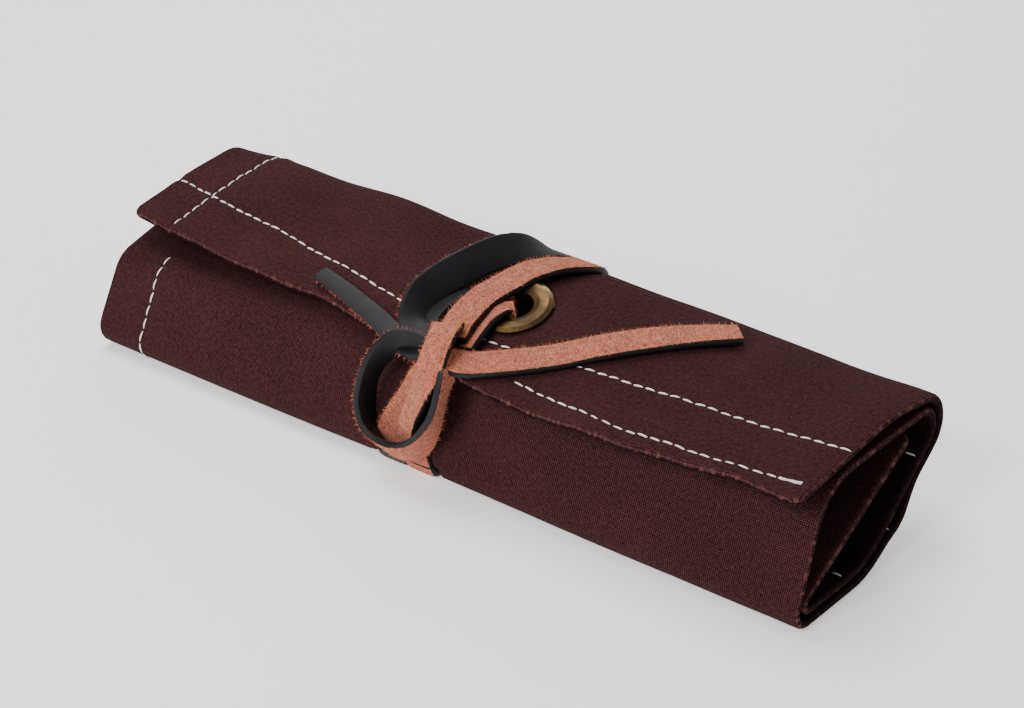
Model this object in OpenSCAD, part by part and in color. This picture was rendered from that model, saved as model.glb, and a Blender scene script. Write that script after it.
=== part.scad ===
// A rolled canvas watch roll, tied with a flat leather lace through a brass grommet.
// X runs along the roll, Y from front to rear, Z up from the table.
// The canvas is one strip, wound clockwise round a row of corner circles seen from the right end.

/* [Roll] */
// Length of the roll along X
roll_l = 230; // [200:1:260]
// Thickness of one layer of canvas
cloth_t = 1.1; // [0.8:0.1:1.2]
// Gap between the sewn layers
layer_gap = 0.1; // [0.05:0.05:0.2]
// Where the mouths of the watch pockets lie along X
pocket_mouth_x = 26; // [20:1:40]
// Width of the hem at the left end
end_hem_w = 16; // [12:1:20]
// Width of the hem along each free edge
side_hem_w = 16; // [12:1:20]

/* [Section] */
// Height of the crown of the flap at the right end
crown_z = 43.8; // [43:0.1:45]
// Height of the crown of the flap at the left end
crown_left_z = 41.6; // [41:0.1:42.5]
// Radius of the corner at the top of the rear
rear_r = 9.6; // [9:0.1:10]
// Radius of the corner at the foot of the rear
foot_r = 12; // [11:0.5:13]
// Radius of the corner at the foot of the front
toe_r = 6; // [5.5:0.5:6.5]
// How far the free edge of the flap hangs past the front
overhang = 4.5; // [3:0.5:6]

/* [Lace] */
// Width of the lace
lace_w = 10; // [8:0.5:10]
// Thickness of the lace
lace_t = 2.4; // [2:0.1:2.4]
// Gap between the lace and the canvas that it lies on
lace_gap = 0.45; // [0.4:0.05:0.6]
// Where the right strand of the lace crosses the foot of the front
strand_x = -1; // [-2:0.5:0]

/* [Grommet] */
// Outer radius of the grommet
flange_r = 10.3; // [9.5:0.1:10.5]
// Radius of the hole in the grommet
hole_r = 5.2; // [5:0.1:5.3]
// Place of the grommet along X
grommet_x = 9; // [9:0.5:10]
// Place of the grommet across the flap
grommet_y = 26; // [25.5:0.5:26.5]

/* [Stitching] */
// Width of a row of stitches
thread_w = 0.7; // [0.5:0.1:0.8]
// Height of a row of stitches
thread_t = 0.3; // [0.2:0.05:0.3]
// Distance of the hem seam from the free edge
side_seam_in = 17; // [15:0.5:18]
// Distance of the pocket seam from the free edge
pocket_seam_in = 4.5; // [4:0.5:6]

/* [Hidden] */

canvas_colour = [0.23, 0.13, 0.13];
lining_colour = [0.20, 0.11, 0.11];
thread_colour = [0.93, 0.91, 0.87];
brass_colour = [0.72, 0.58, 0.32];
suede_colour = [0.78, 0.50, 0.38];
grain_colour = [0.14, 0.13, 0.14];

// The lace crosses the roll here, and draws the flap down
lace_x = 0;
// At the left end the free edge lies this far behind the foot of the front
left_edge_y = 11;
// Each corner circle is [y, z, r]; the first and last are the free edges
crown_r = 80;
rear = [53.3, 33, rear_r];
foot = [36, foot_r, foot_r];
toe = [toe_r - 2.4, toe_r, toe_r];
hairpin = [4, 6.8, 3.2];
inner_foot = [20, 29.6, 26];
circles_right = [
    [-overhang, 38.8, 0], [38, crown_z - crown_r, crown_r], rear, foot, toe,
    [19.5, 22.4, 16], [52.6, 32.4, 6.6], inner_foot, hairpin, [46.5, 34.6, 0]];
circles_lace = [
    [-overhang + 1.5, 34, 0], [40, crown_z - 0.8 - crown_r, crown_r], rear, foot, toe,
    [19.5, 18.5, 16], [52.6, 31.4, 6.6], inner_foot, hairpin, [46.5, 33.2, 0]];
circles_left = [
    [left_edge_y, 37.2, 0], [44, crown_left_z - crown_r, crown_r], rear, foot, toe,
    [13, 18.4, 9], [51.4, 29.6, 6], inner_foot, hairpin, [42, 26, 0]];

FREE_EDGE = 0;
CROWN = 1;
REAR = 2;
FOOT = 3;
TOE = 4;
BROW = 5;
INNER_REAR = 6;
INNER_FOOT = 7;
HAIRPIN = 8;
INNER_EDGE = 9;

// Headings, in degrees, at which the strip is divided into panels
flap_split = -35;
spine_split = -98;
back_split = line_heading(rear, foot);
toe_split = -234;
brow_split = -323;
inner_rear_split = -429;
hairpin_split = -615;
// Half the gap that is left at a split that turns
hinge_gap = 0.25;
arc_steps = 4;

layer2 = cloth_t + layer_gap;
inside = layer2 + cloth_t;
left_x = -roll_l / 2;
right_x = roll_l / 2;
end_hem_x = left_x + end_hem_w;
full_xs = [left_x, end_hem_x, -50, lace_x, pocket_mouth_x, 70, right_x];
pocket_xs = [pocket_mouth_x, 70, right_x];
hem_xs = [left_x, end_hem_x];

function mix(a, b, t) = a + (b - a) * t;
function circles_at(x) = x < lace_x
    ? [for (i = [0 : INNER_EDGE]) mix(circles_left[i], circles_lace[i], (x - left_x) / (lace_x - left_x))]
    : [for (i = [0 : INNER_EDGE]) mix(circles_lace[i], circles_right[i], (x - lace_x) / (right_x - lace_x))];

// Heading of the line that touches circles a and b, both on its right
function line_heading(a, b) = atan2(b.y - a.y, b.x - a.x)
    + asin((b.z - a.z) / norm([b.x - a.x, b.y - a.y]));
// The same heading, turned back by whole turns until it is under the one before it
function turned(h, before) = h - 360 * ceil((h - before) / 360);
function headings(c, i = 0, before = 90) = i >= len(c) - 1 ? [] :
    let (h = turned(line_heading(c[i], c[i + 1]), before)) concat([h], headings(c, i + 1, h));

// A point beside circle c at heading h, depth d inside the outer face of the strip
function beside(c, h, d) = [c.x, c.y] + (c.z - d) * [-sin(h), cos(h)];
// Points near a free edge at heading h and depth d, at distances marks from it
edge_marks = [0, pocket_seam_in - 0.5, pocket_seam_in + 0.5, side_hem_w, side_seam_in + 1];
function near_edge(c, h, d, marks) = [for (m = marks) beside(c, h, d) + m * [cos(h), sin(h)]];
// Points along the strip at depth d, from heading ha on circle a to heading hb on circle b
// A list [g] in place of hb ends them on the straight, g before it touches circle b
function short_of(c, h, d, g) = [beside(c, h, d) - g * [cos(h), sin(h)]];
function strip(c, hs, a, ha, b, hb, d) = [
    for (i = [a : b])
    let (h0 = i == a && ha != undef ? ha : hs[max(i - 1, 0)], h1 = i == b && hb != undef ? hb : hs[min(i, len(hs) - 1)])
    each i == FREE_EDGE ? near_edge(c[i], h0, d, edge_marks)
        : i == INNER_EDGE ? near_edge(c[i], h1, d, [-side_hem_w, 0])
        : i == b && is_list(hb) ? short_of(c[i], hs[i - 1], d, hb[0])
        : [for (k = [0 : arc_steps]) beside(c[i], mix(h0, h1, k / arc_steps), d)]];

// A closed solid through equal rows of points, one row per station
// The caps are strips of quads, from the first half of a row across to the second half
// The quads of the second half of a row are cut the other way, so that layers lie flat on each other
module skin(rows) {
    n = len(rows[0]);
    m = len(rows);
    points = [for (r = rows) each r];
    sides = [for (j = [0 : m - 2]) for (i = [0 : n - 1])
        let (a = j * n + i, b = j * n + (i + 1) % n)
        each i < n / 2 ? [[a, b, b + n], [a, b + n, a + n]] : [[a, b, a + n], [b, b + n, a + n]]];
    first = [for (i = [0 : n / 2 - 2]) [n - 1 - i, n - 2 - i, i + 1, i]];
    end = (m - 1) * n;
    last = [for (i = [0 : n / 2 - 2]) [end + i, end + i + 1, end + n - 2 - i, end + n - 1 - i]];
    polyhedron(points, concat(first, sides, last), convexity = 10);
}

// One layer of the strip, as a sheet between depths d0 and d1, through stations xs
module layer(xs, a, ha, b, hb, d0, d1) {
    skin([for (x = xs)
        let (c = circles_at(x), hs = headings(c),
            ring = ring_between(strip(c, hs, a, ha, b, hb, d0), strip(c, hs, a, ha, b, hb, d1)))
        [for (p = ring) [x, p.x, p.y]]]);
}
// The same between circles that stay alike along the roll, so that its section is even
module even_layer(xs, a, ha, b, hb, d0, d1) {
    c = circles_lace;
    hs = headings(c);
    translate([xs[0], 0, 0]) rotate([90, 0, 90]) linear_extrude(xs[len(xs) - 1] - xs[0])
        polygon(ring_between(strip(c, hs, a, ha, b, hb, d0), strip(c, hs, a, ha, b, hb, d1)));
}
module canvas(a, ha, b, hb) { color(canvas_colour) layer(full_xs, a, ha, b, hb, 0, cloth_t); }
module even_canvas(a, ha, b, hb) { color(canvas_colour) even_layer(full_xs, a, ha, b, hb, 0, cloth_t); }
module even_pocket(a, ha, b, hb) { color(lining_colour) even_layer(pocket_xs, a, ha, b, hb, layer2, inside); }
module even_end_hem(a, ha, b, hb) { color(lining_colour) even_layer(hem_xs, a, ha, b, hb, layer2, inside); }
module pocket(a, ha, b, hb) { color(lining_colour) layer(pocket_xs, a, ha, b, hb, layer2, inside); }
module end_hem(a, ha, b, hb) { color(lining_colour) layer(hem_xs, a, ha, b, hb, layer2, inside); }

// A heading moved along an arc of radius r by g millimetres
function eased(h, g, r) = h + g / r * 180 / PI;
flap_end = eased(flap_split, hinge_gap, rear_r);
spine_start = eased(flap_split, -hinge_gap, rear_r);
spine_end = eased(spine_split, hinge_gap, rear_r);
back_start = eased(spine_split, -hinge_gap, rear_r);
back_end = [hinge_gap];
base_start = eased(back_split, -hinge_gap, foot_r);
body_end = eased(hairpin_split, 2 * hinge_gap, hairpin.z);
inner_start = eased(hairpin_split, -2 * hinge_gap, hairpin.z);

// Height of the flap's outer face at x, y
function flap_z(x, y) = let (c = circles_at(x), h = headings(c)[0], touch = c[CROWN].x - crown_r * sin(h))
    y < touch ? c[0].y + (y - c[0].x) * tan(h)
    : c[CROWN].y + sqrt(crown_r * crown_r - (y - c[CROWN].x) * (y - c[CROWN].x));

// A strip beside a free edge, at distances marks from that edge, between depths d0 and d1
function ring_between(outer, inner) = concat(outer, [for (i = [len(inner) - 1 : -1 : 0]) inner[i]]);
module edge_strip(xs, marks, d0, d1) {
    skin([for (x = xs) let (c = circles_at(x), h = headings(c)[0])
        [for (p = ring_between(near_edge(c[FREE_EDGE], h, d0, marks), near_edge(c[FREE_EDGE], h, d1, marks)))
            [x, p.x, p.y]]]);
}
module inner_edge_strip(xs, marks, d0, d1) {
    skin([for (x = xs) let (c = circles_at(x), hs = headings(c), h = hs[len(hs) - 1])
        [for (p = ring_between(near_edge(c[INNER_EDGE], h, d0, marks), near_edge(c[INNER_EDGE], h, d1, marks)))
            [x, p.x, p.y]]]);
}

// A flat strap of width w through stations [x, y, z, nx, ny, nz]; n is the way its face looks
// A seventh number at a station is a width of its own there
function unit(v) = v / norm(v);
function spot(s) = [s[0], s[1], s[2]];
function strap_ring(s, i, w, t) = let (
    p = spot(s[i]), ahead = spot(s[min(i + 1, len(s) - 1)]) - spot(s[max(i - 1, 0)]),
    across = unit(cross([s[i][3], s[i][4], s[i][5]], ahead)), face = unit(cross(ahead, across)),
    half = (is_undef(s[i][6]) ? w : s[i][6] + w - lace_w) / 2)
    [for (q = [[-1, -1], [-1, 1], [1, 1], [1, -1]]) p + q.x * half * across + q.y * t / 2 * face];
module strap(s, w = lace_w, t = lace_t) { skin([for (i = [0 : len(s) - 1]) strap_ring(s, i, w, t)]); }

// The lace passes under the roll in a dent that it presses in the canvas
dent_z = lace_t + 0.1;
dent_w = 2 * lace_w + 2;
dent_x = strand_x - lace_w / 2 - 0.25;
module dent(grow = 0) {
    translate([dent_x - dent_w / 2 - grow, -5, -1]) cube([dent_w + 2 * grow, 50, 1 + dent_z + grow]);
}

module canvas_flap() {
    color(canvas_colour) difference() {
        union() {
            difference() {
                layer(full_xs, FREE_EDGE, undef, REAR, flap_end, 0, cloth_t);
                at_grommet() cylinder(r = flange_r + 0.2, h = 20, center = true, $fn = 48);
            }
            at_grommet() translate([0, 0, -cloth_t]) cylinder(r = flange_r + 0.6, h = cloth_t, $fn = 48);
        }
        at_grommet() cylinder(r = hole_r + barrel_t + 0.1, h = 20, center = true, $fn = 48);
    }
}
module canvas_spine() { even_canvas(REAR, spine_start, REAR, spine_end); }
module canvas_back() { even_canvas(REAR, back_start, FOOT, back_end); }
module canvas_base() {
    color(canvas_colour) union() {
        difference() {
            even_layer(full_xs, FOOT, base_start, TOE, toe_split, 0, cloth_t);
            dent();
        }
        intersection() {
            translate([dent_x - dent_w / 2 - cloth_t, 0, 0]) cube([dent_w + 2 * cloth_t, 42, dent_z + 1]);
            difference() {
                dent(cloth_t);
                dent();
            }
        }
    }
}
module canvas_front() { canvas(TOE, toe_split, BROW, brow_split); }
module canvas_inner_top() { canvas(BROW, brow_split, INNER_REAR, inner_rear_split); }
module canvas_inner_back() { canvas(INNER_REAR, inner_rear_split, HAIRPIN, body_end); }
module canvas_inner_end() { canvas(HAIRPIN, inner_start, INNER_EDGE, undef); }

module pocket_flap() { pocket(FREE_EDGE, undef, REAR, flap_end); }
module pocket_spine() { even_pocket(REAR, spine_start, REAR, spine_end); }
module pocket_back() { even_pocket(REAR, back_start, FOOT, back_end); }
module pocket_base() { even_pocket(FOOT, base_start, TOE, toe_split); }
module pocket_front() { pocket(TOE, toe_split, BROW, brow_split); }
module pocket_inner_top() { pocket(BROW, brow_split, INNER_REAR, inner_rear_split); }
module pocket_inner_back() { pocket(INNER_REAR, inner_rear_split, HAIRPIN, body_end); }
module pocket_inner_end() { pocket(HAIRPIN, inner_start, INNER_EDGE, undef); }

module end_hem_flap() { end_hem(FREE_EDGE, undef, REAR, flap_end); }
module end_hem_spine() { even_end_hem(REAR, spine_start, REAR, spine_end); }
module end_hem_back() { even_end_hem(REAR, back_start, FOOT, back_end); }
module end_hem_body() { end_hem(FOOT, base_start, HAIRPIN, body_end); }
module end_hem_inner_end() { end_hem(HAIRPIN, inner_start, INNER_EDGE, undef); }

side_hem_xs = [end_hem_x + 0.5, -50, lace_x, pocket_mouth_x - 0.5];
module side_hem_flap() {
    color(lining_colour) edge_strip(side_hem_xs, [for (i = [0 : 3]) edge_marks[i]], layer2, inside);
}
module side_hem_inner_end() {
    color(lining_colour) inner_edge_strip(side_hem_xs, [-side_hem_w, 0], layer2, inside);
}

// Rows of stitches stand on the outer face as thin raised lines
seam_lift = layer_gap / 2;
seam_xs = [left_x + 2, end_hem_x, -50, lace_x, pocket_mouth_x, 70, right_x - 1];
seam_end_xs = [end_hem_x - thread_w / 2, end_hem_x + thread_w / 2];
seam_end_y = circles_at(end_hem_x)[FREE_EDGE].x + 1.5;
module seam_line(xs, s, grow = 0) {
    half = thread_w / 2 + grow;
    color(thread_colour) edge_strip(xs, [s - half, s + half], -seam_lift - thread_t - grow, -seam_lift + grow);
}
module seam_side_hem() {
    difference() {
        seam_line(seam_xs, side_seam_in);
        knot(0.4);
    }
}
module seam_pocket_side() { seam_line([pocket_mouth_x, 70, right_x - 1], pocket_seam_in); }
module seam_end_hem_flap() {
    color(thread_colour) difference() {
        layer(seam_end_xs, FREE_EDGE, undef, CROWN, undef, -seam_lift - thread_t, -seam_lift);
        translate([end_hem_x - 5, seam_end_y - 20, 20]) cube([10, 20, 40]);
        seam_line([end_hem_x - 5, end_hem_x + 5], side_seam_in, 1);
    }
}
module seam_end_hem_body() {
    color(thread_colour) layer(seam_end_xs, TOE, toe_split, BROW, brow_split, -seam_lift - thread_t, -seam_lift);
}
// Ends of the rows of stitches that divide the watch pockets, seen inside the right end
divider_xs = [pocket_mouth_x, 70, right_x - 1];
module divider(a) {
    skin([for (x = divider_xs) let (c = circles_at(x), h = headings(c)[a], along = [cos(h), sin(h)])
        [for (q = [[0, inside + seam_lift], [thread_w, inside + seam_lift],
            [thread_w, inside + seam_lift + thread_t], [0, inside + seam_lift + thread_t]])
            let (p = beside(c[a], h, q.y) + (q.x + 0.5) * along) [x, p.x, p.y]]]);
}
module seam_dividers() { color(thread_colour) for (a = [FOOT, BROW, INNER_FOOT]) divider(a); }

// The grommet stands square to the flap where it is drawn down by the lace
grommet_h = headings(circles_at(grommet_x))[0];
module at_grommet() {
    translate([grommet_x, grommet_y, flap_z(grommet_x, grommet_y)]) rotate([grommet_h, 0, 0]) children();
}
flange_t = 1;
barrel_t = 0.6;
washer_gap = 0.1;
module grommet_eyelet() {
    color(brass_colour) at_grommet() rotate_extrude($fn = 64) polygon([
        [hole_r, -cloth_t - 1.2], [hole_r + barrel_t, -cloth_t - 1.2], [hole_r + barrel_t, washer_gap],
        [flange_r, washer_gap], [flange_r, washer_gap + 0.3], [flange_r - 1.2, flange_t],
        [hole_r + 1.6, flange_t], [hole_r, flange_t - 0.5]]);
}
module grommet_washer() {
    color(brass_colour) at_grommet() rotate_extrude($fn = 64) polygon([
        [hole_r + barrel_t + 0.1, -cloth_t - washer_gap - 0.8], [flange_r, -cloth_t - washer_gap - 0.8],
        [flange_r, -cloth_t - washer_gap], [hole_r + barrel_t + 0.1, -cloth_t - washer_gap]]);
}

// Routes of the lace, by hand
ring_t = 1.6;
rise = lace_gap + lace_t / 2;
// Where the lace leaves the rear of the roll for the top of the flap
lace_turn = 12;
top_start = beside(rear, flap_split + lace_turn, -rise);
top_strand_route = [
    [10.2, top_start.x, top_start.y, 0, 0.4, 0.9], [8.8, 52, 45.6, 0, 0.1, 1], [5.6, 44, 46.6, 0, 0, 1],
    [2.6, 36, 46.9, 0, -0.1, 1], [0.6, 28, 46.8, 0, -0.1, 1], [0.2, 20, 45.8, 0, -0.2, 1],
    [1.5, 12, 43.8, 0, -0.25, 1, 9], [3, 5, 42.2, 0, -0.3, 1, 8]];
top_loop_route = [
    [-0.6, top_start.x, top_start.y, 0, 0.4, 0.9], [-2.4, 54, 45.8, 0.2, 0, 1], [-5.4, 47, 47.2, 0.5, -0.1, 0.8, 9],
    [-8.5, 38, 47.6, 0.65, -0.1, 0.7, 8.5], [-11.5, 29, 46.4, 0.7, -0.1, 0.7, 8], [-13.5, 20, 45, 0.7, 0.1, 0.7, 8],
    [-12.2, 12, 44, 0.5, 0.2, 0.8, 7.5], [-8.6, 7, 43.8, 0.15, 0.2, 1, 7], [-4, 4.8, 43, 0, 0.1, 1, 7]];
ring_left_route = [
    [5.7, 26.6, 40.2, -1, 0, 0, 5], [5.7, 26.6, 42.3, -1, 0, 0.1, 5], [3.4, 24, 43.95, -0.1, 0, 1, 4.4],
    [0.6, 22.6, 43.85, 0, -0.15, 1, 5], [-3.4, 21.2, 42.9, 0.1, -0.2, 1, 6], [-5.6, 16.5, 41.8, 0.2, -0.2, 1, 6],
    [-3.6, 10, 40.6, 0, -0.3, 1, 6], [1, 5, 40, 0, -0.3, 1, 6]];
ring_right_route = [
    [8.8, 23, 38.6, 0, -1, 0, 5], [8.8, 23, 41.6, 0, -1, 0.1, 5], [9, 21.4, 43.2, 0.1, -0.6, 1, 5.5],
    [9, 16.5, 42.4, 0.1, -0.2, 1, 6], [8, 11, 40.8, 0.1, -0.3, 1, 6], [5, 4.5, 39.8, 0, -0.3, 1, 6]];
front_route = [
    [7, -2.5, 42.8, 0, -0.5, 0.9], [7, -8.8, 40.6, 0, -0.8, 0.6], [6, -11.6, 35, 0, -1, 0.1],
    [3.5, -10.9, 28, 0, -1, 0.1], [1, -9.8, 21, 0, -1, 0.1], [strand_x + 0.5, -8.6, 14, 0, -1, 0.1],
    [strand_x, -5.6, 7.6, 0, -1, 0.1], [strand_x, -3.6, 3.8, 0, -0.85, -0.5]];
front_inner_route = [
    [-1, -8.1, 33, 0, -1, 0.1], [-3.5, -6.9, 27, 0, -1, 0.1], [-7.2, -5.7, 20, 0, -1, 0.1],
    [-11, -4.9, 13, 0, -1, 0.1], [strand_x - lace_w - 0.5, -4.8, 7.6, 0, -1, 0.1],
    [strand_x - lace_w - 0.5, -3.6, 3.8, 0, -0.85, -0.5]];
// The loop of the bow, down the front and up again, its face to the outside of the loop
loop_route = [
    [-7, -9.6, 39.4, -0.7, 0, 0.7], [-13.5, -12.6, 33, -0.9, -0.1, 0.3], [-18, -12, 26, -1, -0.1, 0.1],
    [-19.5, -10.6, 19, -1, -0.2, -0.2], [-17.5, -10.6, 12.5, -0.8, -0.6, -0.5], [-12.5, -11, 8.4, -0.4, -0.85, -0.7],
    [-6, -11.6, 7.4, 0, -0.9, -0.7], [0.5, -13, 9.5, 0.5, -0.8, -0.5], [5.5, -15, 14.6, 0.9, -0.5, -0.3],
    [9, -16.5, 21, 1, -0.2, -0.1], [11.2, -16.6, 28, 1, 0, 0.1], [12.2, -15, 34.5, 0.9, 0, 0.3]];
function on_flap(q) = let (slope = (flap_z(q.x, q.y + 3) - flap_z(q.x, q.y - 3)) / 6)
    [q.x, q.y, flap_z(q.x, q.y) + rise + q.z, 0, -slope, 1, q[3]];
tail_right_route = [for (q = [
    [10.5, 1.6, 0.2, 8], [20, 7, 0.3], [31, 15, 0.5], [44, 25.5, 0.8], [56, 35.5, 1], [67, 44.5, 1.2]]) on_flap(q)];
tail_left_route = [for (q = [
    [-6.4, 1.6, 0.2, 8], [-12, 4, 0.3], [-21, 7.5, 0.4], [-30, 10, 0.5], [-39, 12, 0.6], [-47, 14, 0.7]]) on_flap(q)];

module knot(grow = 0) {
    hull() for (q = [[-2, 3.5, 40.3], [8, 3.5, 40.6], [4, -0.5, 40.1], [3, 7.5, 41.3]])
        translate(q) sphere(r = 3.4 + grow, $fn = 20);
}
module lace_bight() {
    color(suede_colour) at_grommet() translate([-5, -5, -cloth_t - 4]) cube([lace_w, 10, 2]);
}
module lace_ring_left() {
    color(grain_colour) difference() {
        strap(ring_left_route, lace_w, ring_t);
        knot();
    }
}
module lace_ring_right() {
    color(suede_colour) difference() {
        strap(ring_right_route, lace_w, ring_t);
        knot();
        strap(ring_left_route, lace_w + 0.2, ring_t + 0.2);
    }
}
module lace_top_strand() {
    color(suede_colour) difference() {
        strap(top_strand_route);
        knot();
    }
}
module lace_top_loop() {
    color(grain_colour) difference() {
        strap(top_loop_route);
        knot();
    }
}
module lace_knot() { color(suede_colour) knot(); }

// Two strands of the lace run side by side, drifting towards +X as they rise up the rear
strand_pitch = lace_w + 0.5;
base_z = lace_t / 2;
function drift(z) = 12 * (z - base_z) / 46;
function wrap_point(c, h, shift, back = 0) = let (p = beside(c, h, -rise) - back * [cos(h), sin(h)])
    [strand_x + shift + drift(p.y), p.x, p.y, 0, -sin(h), cos(h)];
function rear_turn(ha, hb, shift) = [for (k = [0 : arc_steps]) wrap_point(rear, mix(ha, hb, k / arc_steps), shift)];
module lace_spine_strands() {
    color(suede_colour) for (shift = [0, -strand_pitch])
        strap(rear_turn(flap_split - lace_turn, spine_split + lace_turn, shift));
}
module lace_back_strands() {
    color(suede_colour) for (shift = [0, -strand_pitch])
        strap(concat(rear_turn(spine_split - lace_turn, back_split, shift), [wrap_point(foot, back_split, shift, 3)]));
}
// Under the roll the strands lie flush in the dent, and leave it at the foot of the rear
module lace_base_strands() {
    color(suede_colour) for (shift = [0, -strand_pitch])
        strap([for (q = [
            [46.3, 2.9, 0.85, -0.5], [44.9, 1.7, 0.6, -0.8], [43, 1.22, 0.1, -1], [40, base_z, 0, -1], [-0.8, base_z, 0, -1]])
            [strand_x + shift + drift(q[1]), q[0], q[1], 0, q[2], q[3]]]);
}
module lace_front_strand() {
    color(suede_colour) difference() {
        strap(front_route);
        knot(0.4);
    }
}
module lace_front_strand_inner() {
    color(suede_colour) strap(front_inner_route);
}
module bow_loop() {
    color(suede_colour) difference() {
        strap(loop_route);
        strap(front_route, lace_w + 0.2, lace_t + 0.2);
        strap(front_inner_route, lace_w + 0.2, lace_t + 0.2);
        knot(0.4);
    }
}
module lace_tail_right() {
    color(suede_colour) difference() {
        strap(tail_right_route);
        knot(0.4);
    }
}
module lace_tail_left() {
    color(grain_colour) difference() {
        strap(tail_left_route);
        knot(0.4);
    }
}

canvas_flap();
canvas_spine();
canvas_back();
canvas_base();
canvas_front();
canvas_inner_top();
canvas_inner_back();
canvas_inner_end();
pocket_flap();
pocket_spine();
pocket_back();
pocket_base();
pocket_front();
pocket_inner_top();
pocket_inner_back();
pocket_inner_end();
end_hem_flap();
end_hem_spine();
end_hem_back();
end_hem_body();
end_hem_inner_end();
side_hem_flap();
side_hem_inner_end();
seam_side_hem();
seam_pocket_side();
seam_end_hem_flap();
seam_end_hem_body();
seam_dividers();
grommet_eyelet();
grommet_washer();
lace_bight();
lace_ring_left();
lace_ring_right();
lace_top_strand();
lace_top_loop();
lace_knot();
lace_spine_strands();
lace_back_strands();
lace_base_strands();
lace_front_strand();
lace_front_strand_inner();
bow_loop();
lace_tail_right();
lace_tail_left();
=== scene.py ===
# %% [markdown]
# A rolled watch roll of brown canvas, tied with a leather lace through a brass grommet.
# The packed model is the frame: it says where every part is and how it moves.
# This script dresses it. Each step is a cell that prints what it made.

# %% The frame
import math
import random

import bmesh
import bpy
import numpy as np
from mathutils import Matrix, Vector


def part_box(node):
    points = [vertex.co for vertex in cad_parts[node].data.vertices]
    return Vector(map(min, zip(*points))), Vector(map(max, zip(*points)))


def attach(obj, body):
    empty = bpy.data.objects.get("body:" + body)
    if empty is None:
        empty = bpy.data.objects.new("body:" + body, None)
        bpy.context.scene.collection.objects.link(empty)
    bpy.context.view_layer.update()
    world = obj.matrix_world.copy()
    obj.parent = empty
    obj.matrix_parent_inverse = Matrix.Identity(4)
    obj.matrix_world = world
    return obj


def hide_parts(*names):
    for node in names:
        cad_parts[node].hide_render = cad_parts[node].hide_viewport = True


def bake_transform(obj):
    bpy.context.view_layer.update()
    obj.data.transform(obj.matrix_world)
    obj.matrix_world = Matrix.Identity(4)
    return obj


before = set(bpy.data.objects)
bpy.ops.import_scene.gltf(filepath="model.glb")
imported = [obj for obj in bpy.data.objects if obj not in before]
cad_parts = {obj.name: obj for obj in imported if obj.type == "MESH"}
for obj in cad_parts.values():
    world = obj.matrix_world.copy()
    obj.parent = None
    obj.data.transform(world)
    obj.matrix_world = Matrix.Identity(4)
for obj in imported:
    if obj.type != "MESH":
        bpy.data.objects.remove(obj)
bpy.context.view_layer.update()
MM = 0.001
dice = random.Random(7)

# %% [markdown]
# The camera stands at the photograph's angle. The roll runs away to the upper left, so the
# camera looks down at it from the front right with a long lens, which keeps the edges parallel.

# %% The camera
AZIMUTH, ELEVATION, DISTANCE = math.radians(38), math.radians(29.5), 0.756
TARGET = Vector((0.02857, 0, 0.04635))
FOCAL_PIXELS, SENSOR_WIDTH, PHOTO_WIDTH = 3071.1, 36, 1024
LENS = FOCAL_PIXELS * SENSOR_WIDTH / PHOTO_WIDTH


def look_from(azimuth, elevation):
    """The direction from the target to an eye at that angle."""
    flat = math.cos(elevation)
    return Vector((math.sin(azimuth) * flat, -math.cos(azimuth) * flat, math.sin(elevation)))


def aimed(data, name, place, target):
    """A lamp or a camera that looks at a point."""
    item = bpy.data.objects.new(name, data)
    bpy.context.collection.objects.link(item)
    item.location = place
    item.rotation_euler = (target - place).to_track_quat("-Z", "Y").to_euler()
    return item


lens = bpy.data.cameras.new("camera")
lens.lens = LENS
lens.clip_start, lens.clip_end = 0.01, 20
eye = TARGET + DISTANCE * look_from(AZIMUTH, ELEVATION)
bpy.context.scene.camera = aimed(lens, "camera", eye, TARGET)
print("lens", round(LENS, 1), "mm, eye", round(eye.z / MM), "mm above the table")

# %% [markdown]
# Soft studio light comes from large lamps and a pale sky. The big lamp above gives the leather
# its sheen, the one at the front opens the shadows under the flap, and the one behind draws a
# light line along the rear. A lamp has a place, a size in metres and a power in watts.

# %% The light
ROLL_CENTRE = Vector((0, 0.03, 0.02))
SKY_STRENGTH = 0.35
LAMPS = {
    "lamp_above": ((-0.3, 0.1, 0.85), 0.6, 5.5),
    "lamp_front": ((0.05, -0.75, 0.6), 0.35, 7),
    "lamp_rear": ((-0.45, 0.7, 0.5), 0.5, 3),
}
for name, (place, size, power) in LAMPS.items():
    lamp = bpy.data.lights.new(name, "AREA")
    lamp.size, lamp.energy = size, power
    aimed(lamp, name, Vector(place), ROLL_CENTRE)
world = bpy.data.worlds.new("studio")
bpy.context.scene.world = world
world.use_nodes = True
sky = world.node_tree.nodes["Background"]
sky.inputs["Color"].default_value = (1, 1, 1, 1)
sky.inputs["Strength"].default_value = SKY_STRENGTH
print("lamps:", ", ".join(LAMPS))

# %% [markdown]
# A shader is a tree of nodes. The class below wraps one socket, so that sums on sockets can be
# written as plain Python: each operator adds a Math node. Every other node comes from node().


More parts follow.
